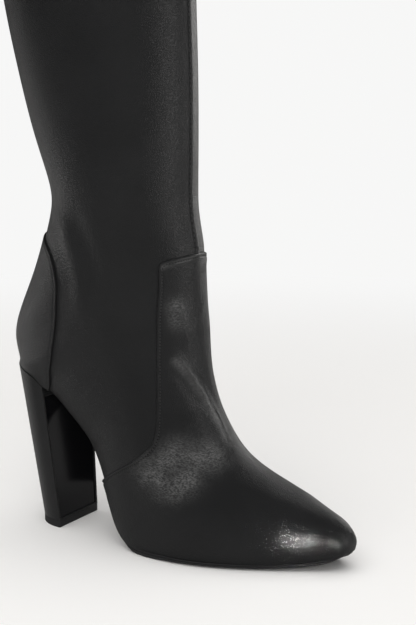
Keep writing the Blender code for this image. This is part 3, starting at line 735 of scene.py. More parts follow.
def make_vamp(materials):
    edge = vamp_edge()
    polygon = np.vstack([[(-1, -BEYOND), (edge[0, 0], -BEYOND)], edge,
                         [(edge[-1, 0], BEYOND), (-1, BEYOND)]])
    u = rows_between(0, LAST.at(VAMP_END), OVERLAY_STEP)
    v = np.linspace(-1, 1, VAMP_COLUMNS + 1)
    part = trimmed(u, v, edge, polygon, FOLDED_EDGE)
    vamp = overlay("vamp_leather", [part], FOLDED_EDGE, materials)
    # Deeper creases and a painted sheen where this mask is high
    add_patches(vamp, "worn", CREASE_AND_SHEEN_PATCHES)
    add_patches(vamp, "polished", POLISHED_PATCHES)
    return vamp


def make_counter(materials):
    u = rows_between(*map(LAST.at, COUNTER_ROWS), OVERLAY_STEP)
    parts = []
    for side in (-1, 1):
        edge = counter_edge(side)
        beyond = side * BEYOND
        polygon = np.vstack([[(edge[0, 0], beyond)], edge, [(edge[-1, 0], beyond)]])
        v = np.linspace(*sorted((side, side * COUNTER_REACH)), COUNTER_COLUMNS + 1)
        parts.append(trimmed(u, v, edge, polygon, CUT_EDGE))
    return overlay("counter_leather", parts, CUT_EDGE, materials)


# --- Sole and heel ----------------------------------------------------------------------------

TOP_PIECE = 0.0047        # thickness of the lift under the heel
TIP_HALF_LENGTH = 0.0118  # of the heel where it meets the lift
TIP_HALF_WIDTH = 0.0212
BREAST = 0.0043           # x of the breast at the seat
HEEL_MARGIN = 0.0012      # how far the heel stands out from the feather edge
LIP = 0.0010              # how far the leather reaches under the feather edge
SEAT_RISE = 0.045         # how far up the counter the heel's cover reaches behind the breast, in v
RISE_SECTIONS = (15.3, 16.8)   # it rises between these
FALL_SECTIONS = (17, 19)  # and falls again by a share between these
SEAT_FALL = 0.3
HEEL_LIFT = 0.0016        # from the last to the cover, there
SOLE_GAP = 0.0003         # between the sole's end and the heel's breast
SOLE_TIP = 9              # points across the toe
SOLE_STEP = 0.0016
WAIST_START = 9           # the sole narrows between these two sections
WAIST_FULL = 12
WAIST_TUCK = -0.0046      # how much further in the sole's edge lies under the waist
WAIST_THICKNESS = 0.75    # of the sole's thickness at the ball
TOE_END = 3.0             # the sole's edge draws in and thins from this section to the toe
TOE_TUCK = -0.0004
TOE_THICKNESS = 0.75
# The sole is thicker where the waist rises from the ball
BULGE_MIDDLE = 9.9        # section where it is thickest
BULGE_REACH = 1.3         # sections from there to where little is left of that
BULGE_UP = 0.0011         # metres added over it and under it
BULGE_DOWN = 0.0013

# The sole's edge at the ball, from its top to its bottom: millimetres out from the feather
# edge, and millimetres below it
SOLE_EDGE = ((-6.0, 0.9), (-1.0, 0.9), (0.8, 0.75), (1.5, 0.45), (1.9, 0.5), (2.15, 0.8),
             (2.2, 1.15), (2.1, 1.35), (1.8, 1.5), (1.8, 1.62), (2.1, 1.75), (2.2, 2.1),
             (2.0, 2.6), (1.3, 3.1), (0.2, 3.55), (-1.5, 3.9), (-3.5, 4.0), (-6.0, 4.0))
SOLE_LEVELS = (0.9, 4.0)  # levels of the top and the bottom in that table
SOLE_SMOOTHING = 60       # rounds in which the feather edge's corners are smoothed, for the sole

SEAT_POINTS = 60          # along either side of the seat
HEEL_COLUMNS = 80         # faces round the heel's curved side
HEEL_ROWS = 30            # and down it
PANEL_BORDER = 0.0014     # leather round the breast panel
PANEL_TOP = 0.0068        # and over it
PANEL_DEPTH = 0.0008      # how far the panel lies behind the leather
PIECE_GAP = 0.0001        # round the panel, and over the top lift
# Folded layers of leather over the panel: millimetres down, and proud of the breast
STRIPS = ((2.5, 0.35), (3.8, 0.45), (5.1, 0.30))
STRIP_HEIGHT = 1.0        # millimetres
STRIP_BORDER = 0.0003     # from a strip's end to the breast's side
STRIP_BACK = -0.0004      # how far a strip reaches into the heel
HEEL_BEVEL = 0.0006
LIFT_BEVEL = 0.0004
PLATE_BEVEL = 0.0002
BEVEL_ANGLE = 40          # degrees: sharper edges are rounded
PLATE_ANGLE = 30
BEVEL_SEGMENTS = 3


def moved_sideways(line, reach):
    """A line of points moved in plan, to the right of its direction where reach is positive."""
    line = np.array(line)
    tangent = np.gradient(line[:, :2], axis=0)
    tangent /= np.linalg.norm(tangent, axis=1)[:, None]
    line[:, 0] += tangent[:, 1] * reach
    line[:, 1] -= tangent[:, 0] * reach
    return line


def spread(line, count):
    """Points at equal steps along a line of points."""
    length = running_total(leg_lengths(line))
    at = np.linspace(0, length[-1], count + 1)
    return np.stack([np.interp(at, length, line[:, i]) for i in range(3)], 1)


def breast_parameter():
    """The parameter where the feather edge passes over the breast."""
    parameters = np.linspace(LAST.at(14), LAST.seat_back, 400)
    return float(np.interp(-BREAST, -LAST.section(parameters).low_x, parameters))


def flat_faces(start, count):
    """Faces that close a row of points, each between two at its start and two at its end."""
    end = start + count - 1
    faces = []
    for i in range(count // 2):
        face = list(dict.fromkeys([start + i, start + i + 1, end - i - 1, end - i]))
        if len(face) > 2:
            faces.append(face)
    return faces


def make_sole(material):
    u = rows_between(0, breast_parameter(), SOLE_STEP, sides=(-1.0,))
    tip = LAST.point(0, np.linspace(-1, 1, SOLE_TIP + 2))[1:-1]
    feather = np.vstack([LAST.point(u, -1)[::-1], tip, LAST.point(u, 1)])
    for _ in range(SOLE_SMOOTHING):
        feather[1:-1, :2] += (feather[2:, :2] + feather[:-2, :2] - 2 * feather[1:-1, :2]) / 4
    waist = smooth_step(LAST.at(WAIST_START), LAST.at(WAIST_FULL), u)
    toe = 1 - smooth_step(0, LAST.at(TOE_END), u)
    waist = np.concatenate([waist[::-1], np.zeros(SOLE_TIP), waist])
    toe = np.concatenate([toe[::-1], np.ones(SOLE_TIP), toe])
    section = np.interp(u, LAST.knots, range(len(LAST.knots)))
    bulge = np.exp(-((section - BULGE_MIDDLE) / BULGE_REACH) ** 2)
    bulge = np.concatenate([bulge[::-1], np.zeros(SOLE_TIP), bulge])
    rings = []
    for out, down in SOLE_EDGE:
        ring = moved_sideways(feather, out * MM + WAIST_TUCK * waist + TOE_TUCK * toe)
        thickness = 1 + (WAIST_THICKNESS - 1) * waist + (TOE_THICKNESS - 1) * toe
        ring[:, 2] -= down * MM * thickness
        ring[:, 2] += bulge * np.interp(down, SOLE_LEVELS, (BULGE_UP, -BULGE_DOWN))
        ring[[0, -1], 0] = BREAST + SOLE_GAP
        rings.append(ring)
    around, count = len(feather), len(rings)
    faces = []
    for row in range(count - 1):
        for i in range(around - 1):
            a, b = row * around + i, (row + 1) * around + i
            faces.append([a, b, b + 1, a + 1])
    faces += flat_faces(0, around)
    faces += [face[::-1] for face in flat_faces((count - 1) * around, around)]
    first = [row * around for row in range(count)]
    last = [row * around + around - 1 for row in range(count)]
    faces.append(first[::-1] + last)
    return closed(mesh_piece("sole", np.vstack(rings), faces, [material], angle=40))


def closed(piece):
    """Turns a closed piece's faces outwards."""
    mesh = bmesh.new()
    mesh.from_mesh(piece.data)
    bmesh.ops.recalc_face_normals(mesh, faces=mesh.faces)
    if mesh.calc_volume(signed=True) < 0:
        bmesh.ops.reverse_faces(mesh, faces=mesh.faces)
    mesh.to_mesh(piece.data)
    mesh.free()
    return piece


def tip_outline(z):
    """The heel's D at the floor, from its outer breast corner round the back to the inner one."""
    turn = np.radians(np.arange(-90, 91))
    x = TIP_HALF_LENGTH - 2 * TIP_HALF_LENGTH * np.cos(turn)
    line = np.stack([x, TIP_HALF_WIDTH * np.sin(turn), np.full(len(turn), z)], 1)
    return spread(line, HEEL_COLUMNS)


def heel_rows():
    """The heel's curved side in rows from the seat down to the top lift."""
    u = np.linspace(breast_parameter(), LAST.seat_back, SEAT_POINTS)
    rise = smooth_step(*map(LAST.at, RISE_SECTIONS), u)
    fall = smooth_step(*map(LAST.at, FALL_SECTIONS), u)
    v = 1 - SEAT_RISE * rise * (1 - SEAT_FALL * fall)
    sides = []
    for side in (-v, v):
        line = LAST.point(u, side) + LAST.normal(u, side) * HEEL_LIFT * rise[:, None]
        line[:, 2] -= LIP * (1 - rise)
        sides.append(line)
    seat = np.vstack([sides[0], sides[1][-2::-1]])
    seat = moved_sideways(seat, -HEEL_MARGIN * (1 - np.concatenate([rise, rise[-2::-1]])))
    seat[[0, -1], 0] = BREAST
    seat = spread(seat, HEEL_COLUMNS)
    tip = tip_outline(TOP_PIECE)
    return [seat + (tip - seat) * row / HEEL_ROWS for row in range(HEEL_ROWS + 1)]


def breast_corners(border, top_border):
    """The breast's corners in its plane, drawn in by a border: top outer and inner, then bottom
    inner and outer."""
    rows = heel_rows()
    top_outer, top_inner, low_outer, low_inner = rows[0][0], rows[0][-1], rows[-1][0], rows[-1][-1]
    height = top_outer[2] - low_outer[2]
    corners = []
    for drop in (top_border / height, 1 - border / height):
        outer = top_outer + (low_outer - top_outer) * drop
        inner = top_inner + (low_inner - top_inner) * drop
        corners.append([outer + [0, border, 0], inner - [0, border, 0]])
    return [corners[0][0], corners[0][1], corners[1][1], corners[1][0]]


def make_heel(material):
    rows = np.array(heel_rows())
    count, columns = rows.shape[:2]
    points = rows.reshape(-1, 3).tolist()
    faces = grid_faces(count, columns)
    for row in (0, count - 1):
        faces += flat_faces(row * columns, columns)
    rim = len(points)
    points += [list(corner) for corner in breast_corners(PANEL_BORDER, PANEL_TOP)]
    floor = len(points)
    points += [[x - 2 * PANEL_DEPTH, y, z] for x, y, z in points[rim:rim + 4]]
    outer = [row * columns for row in range(count)]
    inner = [row * columns + columns - 1 for row in range(count)]
    faces.append(outer + [rim + 3, rim])
    faces.append(inner[::-1] + [rim + 1, rim + 2])
    faces.append([outer[0], rim, rim + 1, inner[0]])
    faces.append([outer[-1], inner[-1], rim + 2, rim + 3])
    for i in range(4):
        j = (i + 1) % 4
        faces.append([rim + i, rim + j, floor + j, floor + i])
    faces.append([floor, floor + 1, floor + 2, floor + 3])
    heel = closed(mesh_piece("heel_cover", points, faces, [material]))
    return bevelled(heel, HEEL_BEVEL, BEVEL_ANGLE)


def box_on(name, corners, front, back, material):
    """A plate on four corners of the breast's plane, from front to back of it."""
    points = [[x + shift, y, z] for shift in (front, back) for x, y, z in corners]
    faces = [[0, 1, 2, 3], [7, 6, 5, 4]]
    faces += [[i, i + 4, (i + 1) % 4 + 4, (i + 1) % 4] for i in range(4)]
    plate = closed(mesh_piece(name, points, faces, [material], angle=30))
    return bevelled(plate, PLATE_BEVEL, PLATE_ANGLE)


def make_breast(panel_material, leather):
    """The glossy panel in the breast, and the folded layers of leather over it."""
    corners = breast_corners(PANEL_BORDER + PIECE_GAP, PANEL_TOP + PIECE_GAP)
    plate = box_on("breast_panel", corners, -PANEL_DEPTH, -2 * PANEL_DEPTH, panel_material)
    strips = []
    for number, (down, proud) in enumerate(STRIPS):
        top = breast_corners(STRIP_BORDER, down * MM)[:2]
        low = breast_corners(STRIP_BORDER, (down + STRIP_HEIGHT) * MM)[:2][::-1]
        strip = box_on(f"breast_fold_{number}", top + low, proud * MM, STRIP_BACK, leather)
        strips.append(strip)
    return plate, strips


def make_top_lift(material):
    outline = tip_outline(0)
    count = len(outline)
    points = [point + [0, 0, z] for z in (0, TOP_PIECE - PIECE_GAP) for point in outline]
    faces = [list(range(count))[::-1], list(range(count, 2 * count))]
    faces += [[i, (i + 1) % count, (i + 1) % count + count, i + count] for i in range(count)]
    lift = closed(mesh_piece("top_lift", points, faces, [material], angle=35))
    return bevelled(lift, LIFT_BEVEL, BEVEL_ANGLE)


# --- Stitches -----------------------------------------------------------------------------------

STITCH_LIFT = 0.12        # millimetres from the leather's surface to the middle of the thread
HOLE_LIFT = 0.02
VAMP_LINE = 0.0024        # metres in from the edge of the leather to the stitches
COUNTER_LINE = 0.0016
FRONT_LINE = 0.0041
TOPLINE_LINE = 0.003
COUNTER_LIFT = 0.98       # millimetres from the last to the leather under the stitches
FRONT_LIFT = 0.85
TOPLINE_LIFT = 0.30
FRONT_START = 22.80       # the front seam's stitches start from this section, over the tab
FRONT_END = 0.03          # in u, and end this far under the topline
LINE_POINTS = 400
THREAD_FLATNESS = 0.6     # height of the thread, as a share of its width
HOLE_WIDTH = 1.4          # sizes of the dark disc of painted shade at a needle hole, as shares of the thread's width
HOLE_HEIGHT = 0.4
HOLE_OVERLAP = 0.0005     # how far it reaches under the stitches beside it, both together


def moved_in(edge, distance):
    """A line's parameters moved over the surface by a distance in metres, to the left of it."""
    u, v = edge.T
    step = 0.002
    along_u = (LAST.point(u + step, v) - LAST.point(u - step, v)) / (2 * step)
    low, high = np.maximum(v - step, -1), np.minimum(v + step, 1)
    along_v = (LAST.point(u, high) - LAST.point(u, low)) / (high - low)[:, None]
    tangent = np.gradient(LAST.point(u, v), axis=0)
    side = np.cross(LAST.normal(u, v), tangent)
    side *= distance / np.linalg.norm(side, axis=1)[:, None]
    basis = np.stack([along_u, along_v], -1)
    turned = basis.transpose(0, 2, 1)
    shift = np.linalg.solve(turned @ basis, turned @ side[..., None])
    return edge + shift[..., 0]


def stitch_tree():
    """Geometry nodes that sew ellipsoid stitches along a line of edges."""
    tree = bpy.data.node_groups.new("stitches", "GeometryNodeTree")
    for name, kind in (("Line", "NodeSocketGeometry"), ("Pitch", "NodeSocketFloat"),
                       ("Size", "NodeSocketVector"), ("Thread", "NodeSocketMaterial")):
        tree.interface.new_socket(name, in_out="INPUT", socket_type=kind)
    tree.interface.new_socket("Stitches", in_out="OUTPUT", socket_type="NodeSocketGeometry")

    def node(kind, links, **settings):
        made = tree.nodes.new(kind)
        for name, value in settings.items():
            setattr(made, name, value)
        for name, value in links.items():
            if isinstance(value, bpy.types.NodeSocket):
                tree.links.new(value, made.inputs[name])
            else:
                made.inputs[name].default_value = value
        return made

    start = tree.nodes.new("NodeGroupInput").outputs
    curve = node("GeometryNodeMeshToCurve", {"Mesh": start["Line"]})
    even = node("GeometryNodeResampleCurve",
                {"Curve": curve.outputs["Curve"], "Length": start["Pitch"]}, mode="LENGTH")
    ball = node("GeometryNodeMeshUVSphere", {"Segments": 6, "Rings": 5, "Radius": 0.5})
    out = node("GeometryNodeInputNamedAttribute", {"Name": "outward"}, data_type="FLOAT_VECTOR")
    tangent = node("GeometryNodeInputTangent", {})
    turn = node("FunctionNodeAxesToRotation",
                {"Primary Axis": tangent.outputs[0], "Secondary Axis": out.outputs["Attribute"]},
                primary_axis="X", secondary_axis="Z")
    sewn = node("GeometryNodeInstanceOnPoints",
                {"Points": even.outputs["Curve"], "Instance": ball.outputs["Mesh"],
                 "Rotation": turn.outputs["Rotation"], "Scale": start["Size"]})
    real = node("GeometryNodeRealizeInstances", {"Geometry": sewn.outputs["Instances"]})
    final = node("GeometryNodeSetMaterial",
                 {"Geometry": real.outputs["Geometry"], "Material": start["Thread"]})
    end = tree.nodes.new("NodeGroupOutput")
    tree.links.new(final.outputs["Geometry"], end.inputs["Stitches"])
    return tree


def sew(name, line, lift, material, pitch, size, tree):
    """Ellipsoids of a size at each pitch along a line of parameters, lifted by millimetres."""
    points = leather_points(*line.T, lift)
    data = bpy.data.meshes.new(name)
    data.from_pydata(points.tolist(), [(i, i + 1) for i in range(len(points) - 1)], [])
    outward = data.attributes.new("outward", "FLOAT_VECTOR", "POINT")
    outward.data.foreach_set("vector", LAST.normal(*line.T).ravel())
    piece = in_scene(name, data)
    modifier = piece.modifiers.new("Stitches", "NODES")
    modifier.node_group = tree
    values = {"Pitch": pitch, "Size": size, "Thread": material}
    for socket in tree.interface.items_tree:
        if socket.name in values:
            modifier[socket.identifier] = values[socket.name]
    return applied(piece)


def started_later(line, distance):
    """A line of parameters without a distance in metres at its start."""
    length = running_total(leg_lengths(LAST.point(*line.T)))
    start = [np.interp(distance, length, line[:, i]) for i in (0, 1)]
    return np.vstack([start, line[length > distance]])


def seam_lines(short, long):
    """The lines that are sewn: name, parameters, lift in millimetres, and pitch."""
    inside, top, _ = zip(*FOLDED_EDGE)
    vamp_lift = np.interp(VAMP_LINE / MM, inside, top)
    lines = [("vamp", moved_in(vamp_edge(), -VAMP_LINE)[6:-6], vamp_lift, short)]
    for side, word in ((-1, "outer"), (1, "inner")):
        line = moved_in(counter_edge(side), COUNTER_LINE * -side)[4:-4]
        lines.append((f"counter_{word}", line, COUNTER_LIFT, short))
    u = np.linspace(LAST.at(FRONT_START), LAST.topline - FRONT_END, LINE_POINTS)
    v = LAP_EDGE - FRONT_LINE / stretch(u, np.full(len(u), LAP_EDGE))
    lines.append(("front", np.stack([u, v], 1), FRONT_LIFT, long))
    v = np.linspace(-1, 1, LINE_POINTS)
    u = LAST.topline - TOPLINE_LINE / metres_up(v)
    lines.append(("topline", np.stack([u, v], 1), TOPLINE_LIFT, long))
    return lines


def make_stitches(thread, hole_shade, settings):
    """The stitches, and dark discs of painted shade at each needle hole between them, along the
    vamp, the counter, the shaft's front seam and the topline."""
    tree = stitch_tree()
    width = settings.thread
    pieces = []
    for name, line, lift, pitch in seam_lines(settings.pitch, settings.seam_pitch):
        size = (pitch * settings.length, width, width * THREAD_FLATNESS)
        pieces.append(sew(f"{name}_stitches", line, lift + STITCH_LIFT, thread, pitch, size, tree))
        # A dark disc of painted shade at each needle hole, between the stitches
        size = (pitch * (1 - settings.length) + HOLE_OVERLAP, width * HOLE_WIDTH,
                width * HOLE_HEIGHT)
        line = started_later(line, pitch / 2)
        pieces.append(sew(f"{name}_holes", line, lift + HOLE_LIFT, hole_shade, pitch, size, tree))
    return pieces


# --- Materials ----------------------------------------------------------------------------------


class Value:
    """A shader socket that takes part in arithmetic."""

    def __init__(self, build, socket):
        self.build = build
        self.socket = socket

    def math(self, operation, *others):
        return self.build.math(operation, self, *others)

    def __add__(self, other):
        return self.math("ADD", other)

    __radd__ = __add__

    def __sub__(self, other):
        return self.math("SUBTRACT", other)

    def __rsub__(self, other):
        return self.build.math("SUBTRACT", other, self)

    def __mul__(self, other):
        return self.math("MULTIPLY", other)

    __rmul__ = __mul__


class Tree:
    """Builds the nodes of a material or a world."""

    def __init__(self, owner):
        owner.use_nodes = True
        self.tree = owner.node_tree
        self.tree.nodes.clear()

    def node(self, kind, settings=None, sockets=None):
        """A new node with these settings, and these values or links at its sockets."""
        made = self.tree.nodes.new(kind)
        for name, value in (settings or {}).items():
            setattr(made, name, value)
        for key, value in (sockets or {}).items():
            named = [socket for socket in made.inputs if key in (socket.identifier, socket.name)]
            if isinstance(value, Value):
                self.tree.links.new(value.socket, named[0])
            else:
                named[0].default_value = value
        return made

    def out(self, made, name=0):
        return Value(self, made.outputs[name])

    def math(self, operation, *values):
        sockets = dict(zip(("Value", "Value_001", "Value_002"), values))
        return self.out(self.node("ShaderNodeMath", {"operation": operation}, sockets))

    def ramp(self, value, low, high, start=0.0, end=1.0):
        """A value's range from low to high, turned smoothly into one from start to end."""
        settings = {"interpolation_type": "SMOOTHSTEP"}
        sockets = {"Value": value, "From Min": low, "From Max": high,
                   "To Min": start, "To Max": end}
        return self.out(self.node("ShaderNodeMapRange", settings, sockets))

    def place(self, stretch=(1, 1, 1)):
        """The place on the object in metres, stretched along its axes."""
        place = self.out(self.node("ShaderNodeTexCoord"), "Object")
        if stretch == (1, 1, 1):
            return place
        sockets = {"Vector": place, "Vector_001": stretch}
        return self.out(self.node("ShaderNodeVectorMath", {"operation": "MULTIPLY"}, sockets))

    def noise(self, scale, detail=2.0, stretch=(1, 1, 1)):
        sockets = {"Vector": self.place(stretch), "Scale": scale, "Detail": detail}
        return self.out(self.node("ShaderNodeTexNoise", None, sockets), "Fac")

    def cells(self, scale):
        """The distance to the borders of cells."""
        settings = {"feature": "DISTANCE_TO_EDGE"}
        sockets = {"Vector": self.place(), "Scale": scale}
        return self.out(self.node("ShaderNodeTexVoronoi", settings, sockets), "Distance")

    def mix(self, factor, first, second):
        """A colour between two colours."""
        sockets = {"Factor_Float": factor, "A_Color": first, "B_Color": second}
        made = self.node("ShaderNodeMix", {"data_type": "RGBA"}, sockets)
        return Value(self, next(s for s in made.outputs if s.identifier == "Result_Color"))

    def attribute(self, name):
        return self.out(self.node("ShaderNodeAttribute", {"attribute_name": name}), "Fac")

    def bump(self, height, distance):
        sockets = {"Height": height, "Distance": distance}
        return self.out(self.node("ShaderNodeBump", None, sockets), "Normal")

    def shader(self, kind, **sockets):
        """A shader with these sockets, in whose names an underscore stands for a space."""
        sockets = {name.replace("_", " "): value for name, value in sockets.items()}
        return self.out(self.node(kind, None, sockets))

    def either(self, factor, first, second):
        """A shader between two shaders."""
        sockets = {"Fac": factor, "Shader": first, "Shader_001": second}
        return self.out(self.node("ShaderNodeMixShader", None, sockets))

    def end(self, shader, kind="ShaderNodeOutputMaterial"):
        """Ends the tree in a shader."""
        self.node(kind, None, {"Surface": shader})


def colour4(colour):
    """A colour with its alpha."""
    return (*colour, 1.0)


# Finishes of the plain materials: their grain is in cells for each metre, and its depth in metres
Finish = namedtuple("Finish", "colour roughness grain depth shine", defaults=(0, 0, 0.5))

FINISHES = {
    "cut_leather": Finish((0.008, 0.008, 0.008), 0.8),
    "lining": Finish((0.10, 0.088, 0.075), 0.8, 900, 0.00005),
    "insole": Finish((0.10, 0.088, 0.075), 0.8, 900, 0.00005),
    "sole_leather": Finish((0.014, 0.014, 0.015), 0.5, 700, 0.00003),
    "black_rubber": Finish((0.016, 0.016, 0.017), 0.65, 1200, 0.00003),
    # The thread is paler than the leather: partly its own colour, partly a painted highlight
    "thread": Finish((0.030, 0.030, 0.031), 0.45),
    # Near black: painted shade where a needle hole lies in shadow
    "needle_hole": Finish((0.002, 0.002, 0.002), 0.9),
    "flag": Finish((0.01, 0.01, 0.01), 1.0),
}
PANEL_SHINE = 0.28        # how strongly the breast panel reflects
GRAIN_DETAIL = 3.0        # octaves of a fine grain
SLOW = 28                 # slow patterns over the leather, in cells for each metre
BLOTCHES = 110            # and the blotches in the patches of deeper creases and painted sheen
SHADES = (0.92, 1.08)     # the leather's colour wanders between these shares of it
SLOW_ROUGHNESS = 0.10     # and its roughness by these
FINE_ROUGHNESS = 0.08
# Tint of the painted sheen on the creased patches
PAINTED_SHEEN_TINT = np.array((1.02, 1.00, 0.95))


def leather_material(name, settings, roughness):
    """Smooth leather with a fine grain. Over some patches it is creased deeper and painted paler as
    a painted sheen, and it is glossier where it is polished."""
    material = bpy.data.materials.new(name)
    build = Tree(material)
    size = settings.grain_size
    pores = build.ramp(build.cells(1 / size), 0.0, 0.28)
    fine = build.noise(1.7 / size, GRAIN_DETAIL)
    wrinkles = build.noise(0.75 / size, 2.0, (1, 1, 2.2))
    worn = build.attribute("worn")
    polished = build.attribute("polished")
    slow = build.noise(SLOW, 2.0)
    blotches = build.noise(BLOTCHES, 3.0)
    # The mask of deeper creases and painted sheen, broken into blotches
    worn = worn * build.ramp(blotches, 0.30, 0.60, 0.55, 1.0)
    grain = (pores * 0.5 + fine * 0.8 + wrinkles * (worn * 2.0 + 0.8)) * (1 - polished * 0.6)
    colour = np.array(settings.colour)
    darker, lighter = (colour4(colour * shade) for shade in SHADES)
    # Painted sheen: a paler, warmer colour where light would catch the creased leather
    painted_sheen = colour4(PAINTED_SHEEN_TINT * settings.painted_sheen_gain * colour)
    shade = build.mix(build.ramp(slow, 0.35, 0.65), darker, lighter)
    shade = build.mix(worn * build.ramp(wrinkles, 0.35, 0.65, 0.25, 1.0), shade, painted_sheen)
    normal = build.bump(grain, settings.grain_depth)
    rough = roughness + (slow - 0.5) * SLOW_ROUGHNESS + (fine - 0.5) * FINE_ROUGHNESS
    dull, gloss = (build.shader("ShaderNodeBsdfPrincipled", Base_Color=shade, Roughness=how_rough,
                                Normal=normal, Specular_IOR_Level=shine)
                   for how_rough, shine in ((rough, settings.shine), (settings.polish, 1.0)))
    build.end(build.either(polished, dull, gloss))
    return material


def plain_material(name, finish=None):
    """A plain finish, with a fine grain if it has a depth."""
    colour, roughness, grain, depth, shine = finish or FINISHES[name]
    material = bpy.data.materials.new(name)
    build = Tree(material)
    normal = {"Normal": build.bump(build.noise(grain, GRAIN_DETAIL), depth)} if depth else {}
    build.end(build.shader("ShaderNodeBsdfPrincipled", Base_Color=colour4(colour),
                           Roughness=roughness, Specular_IOR_Level=shine, **normal))
    return material


# --- The add-on ---------------------------------------------------------------------------------


class LeatherSettings(bpy.types.PropertyGroup):
    colour: FloatVectorProperty(
        name="Colour", default=(0.0104, 0.0107, 0.0113), size=3, subtype="COLOR",
        description="Colour of the black leather")
    shaft_roughness: FloatProperty(
        name="Shaft roughness", default=0.33, min=0, max=1,
        description="Roughness of the shaft's leather")
    vamp_roughness: FloatProperty(
        name="Vamp roughness", default=0.36, min=0, max=1,
        description="Roughness of the vamp's leather")
    shine: FloatProperty(
        name="Shine", default=0.35, min=0, max=1,
        description="How strongly the leather reflects")
    grain_size: FloatProperty(
        name="Grain size", default=0.0011, unit="LENGTH",
        description="Width of a cell of the leather's grain")
    grain_depth: FloatProperty(
        name="Grain depth", default=0.00016, unit="LENGTH",
        description="How deep the grain is")
    polish: FloatProperty(
        name="Polish", default=0.28, min=0, max=1,
        description="How rough the leather is where it is polished")
    # How many times paler the creased patches are painted: the strength of the painted sheen
    painted_sheen_gain: FloatProperty(
        name="Wear", default=9.2, min=1,
        description="How much paler the leather is where it is worn")


class StitchSettings(bpy.types.PropertyGroup):
    pitch: FloatProperty(
        name="Pitch", default=0.0019, unit="LENGTH",
        description="From a stitch to the next, round the vamp and the counter")
    seam_pitch: FloatProperty(
        name="Seam pitch", default=0.0030, unit="LENGTH",
        description="From a stitch to the next, on the shaft")
    length: FloatProperty(
        name="Length", default=0.68, min=0.1, max=1,
        description="Length of a stitch, as a share of its pitch")
    thread: FloatProperty(
        name="Thread", default=0.00072, unit="LENGTH",
        description="Width of the thread")


class HeelSettings(bpy.types.PropertyGroup):
    panel_colour: FloatVectorProperty(
        name="Panel colour", default=(0.005, 0.005, 0.006), size=3, subtype="COLOR",
        description="Colour of the glossy breast panel")
    panel_roughness: FloatProperty(
        name="Panel roughness", default=0.10, min=0, max=1,
        description="Roughness of the breast panel")


class StageSettings(bpy.types.PropertyGroup):
    background: FloatVectorProperty(
        name="Background", default=(0.93, 0.93, 0.925), size=3, subtype="COLOR",
        description="Colour of the paper behind the boot")
    surround: FloatProperty(
        name="Surround", default=0.03, min=0,
        description="Brightness of the room round the boot")
    sky: FloatProperty(
        name="Overhead fill", default=110, min=0, unit="POWER",
        description="Power of the wide light over the boot")
    room: FloatProperty(
        name="Front fill", default=70, min=0, unit="POWER",
        description="Power of the wide light before the boot")
    toe: FloatProperty(
        name="Toe light", default=0.0055, min=0, unit="POWER",
        description="Power of the glossy light low before the toe")
    side: FloatProperty(
        name="Side light", default=3.2, min=0, unit="POWER",
        description="Power of the glossy light beyond the toe")
    beyond: FloatProperty(
        name="Far light", default=3.4, min=0, unit="POWER",
        description="Power of the glossy light on the inner side")
    heel_side: FloatProperty(
        name="Heel light", default=0.26, min=0, unit="POWER",
        description="Power of the glossy light beyond the heel")
    heel_low: FloatProperty(
        name="Low heel light", default=0.016, min=0, unit="POWER",
        description="Power of the glossy light low behind the counter")


def black_leather(settings, roughness):
    """The leather's material, made once for each roughness."""
    name = f"black_leather_{round(roughness * 100)}"
    return bpy.data.materials.get(name) or leather_material(name, settings, roughness)


def cut_leather():
    """The material of leather's cut edges and back, made once."""
    return bpy.data.materials.get("cut_leather") or plain_material("cut_leather")


class BOOT_OT_shaft(bpy.types.Operator):
    """Makes the shaft's two panels, its lining and the binding of its topline"""
    bl_idname = "boot.shaft"
    bl_label = "Shaft"

    def execute(self, context):
        settings = context.scene.boot_leather
        leather = black_leather(settings, settings.shaft_roughness)
        outer, inner = make_shaft([leather, cut_leather()])
        to_frame(outer, "black_leather", "upper")
        to_frame(inner, "black_leather")
        to_frame(make_lining(plain_material("lining")), "insole_lining")
        to_frame(make_binding(leather), "black_leather")
        return {"FINISHED"}


class BOOT_OT_vamp(bpy.types.Operator):
    """Makes the vamp with its tab over the instep"""
    bl_idname = "boot.vamp"
    bl_label = "Vamp"

    def execute(self, context):
        settings = context.scene.boot_leather
        leather = black_leather(settings, settings.vamp_roughness)
        vamp = make_vamp([leather, cut_leather()])
        to_frame(vamp, "black_leather", "vamp")
        return {"FINISHED"}


class BOOT_OT_counter(bpy.types.Operator):
    """Makes the counter round the back of the heel"""
    bl_idname = "boot.counter"
    bl_label = "Counter"

    def execute(self, context):
        settings = context.scene.boot_leather
        leather = black_leather(settings, settings.shaft_roughness)
        counter = make_counter([leather, cut_leather()])
        to_frame(counter, "black_leather", "counter")
        return {"FINISHED"}


class BOOT_OT_sole(bpy.types.Operator):
    """Makes the sole, and gives the insole its finish"""
    bl_idname = "boot.sole"
    bl_label = "Sole"

    def execute(self, context):
        to_frame(make_sole(plain_material("sole_leather")), "sole_leather", "outsole")
        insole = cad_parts["insole"].data
        insole.materials.clear()
        insole.materials.append(plain_material("insole"))
        return {"FINISHED"}


class BOOT_OT_heel(bpy.types.Operator):
    """Makes the heel, the glossy panel in its breast and its top lift"""
    bl_idname = "boot.heel"
    bl_label = "Heel"

    def execute(self, context):
        leather = context.scene.boot_leather
        settings = context.scene.boot_heel
        cover = black_leather(leather, leather.shaft_roughness)
        to_frame(make_heel(cover), "black_leather", "heel")
        glossy = Finish(tuple(settings.panel_colour), settings.panel_roughness, shine=PANEL_SHINE)
        glossy = plain_material("glossy_black", glossy)
        plate, strips = make_breast(glossy, cover)
        to_frame(plate, "glossy_black", "heel_breast")
        for strip in strips:
            to_frame(strip, "black_leather")
        lift = make_top_lift(plain_material("black_rubber"))
        to_frame(lift, "black_rubber", "top_piece")
        return {"FINISHED"}


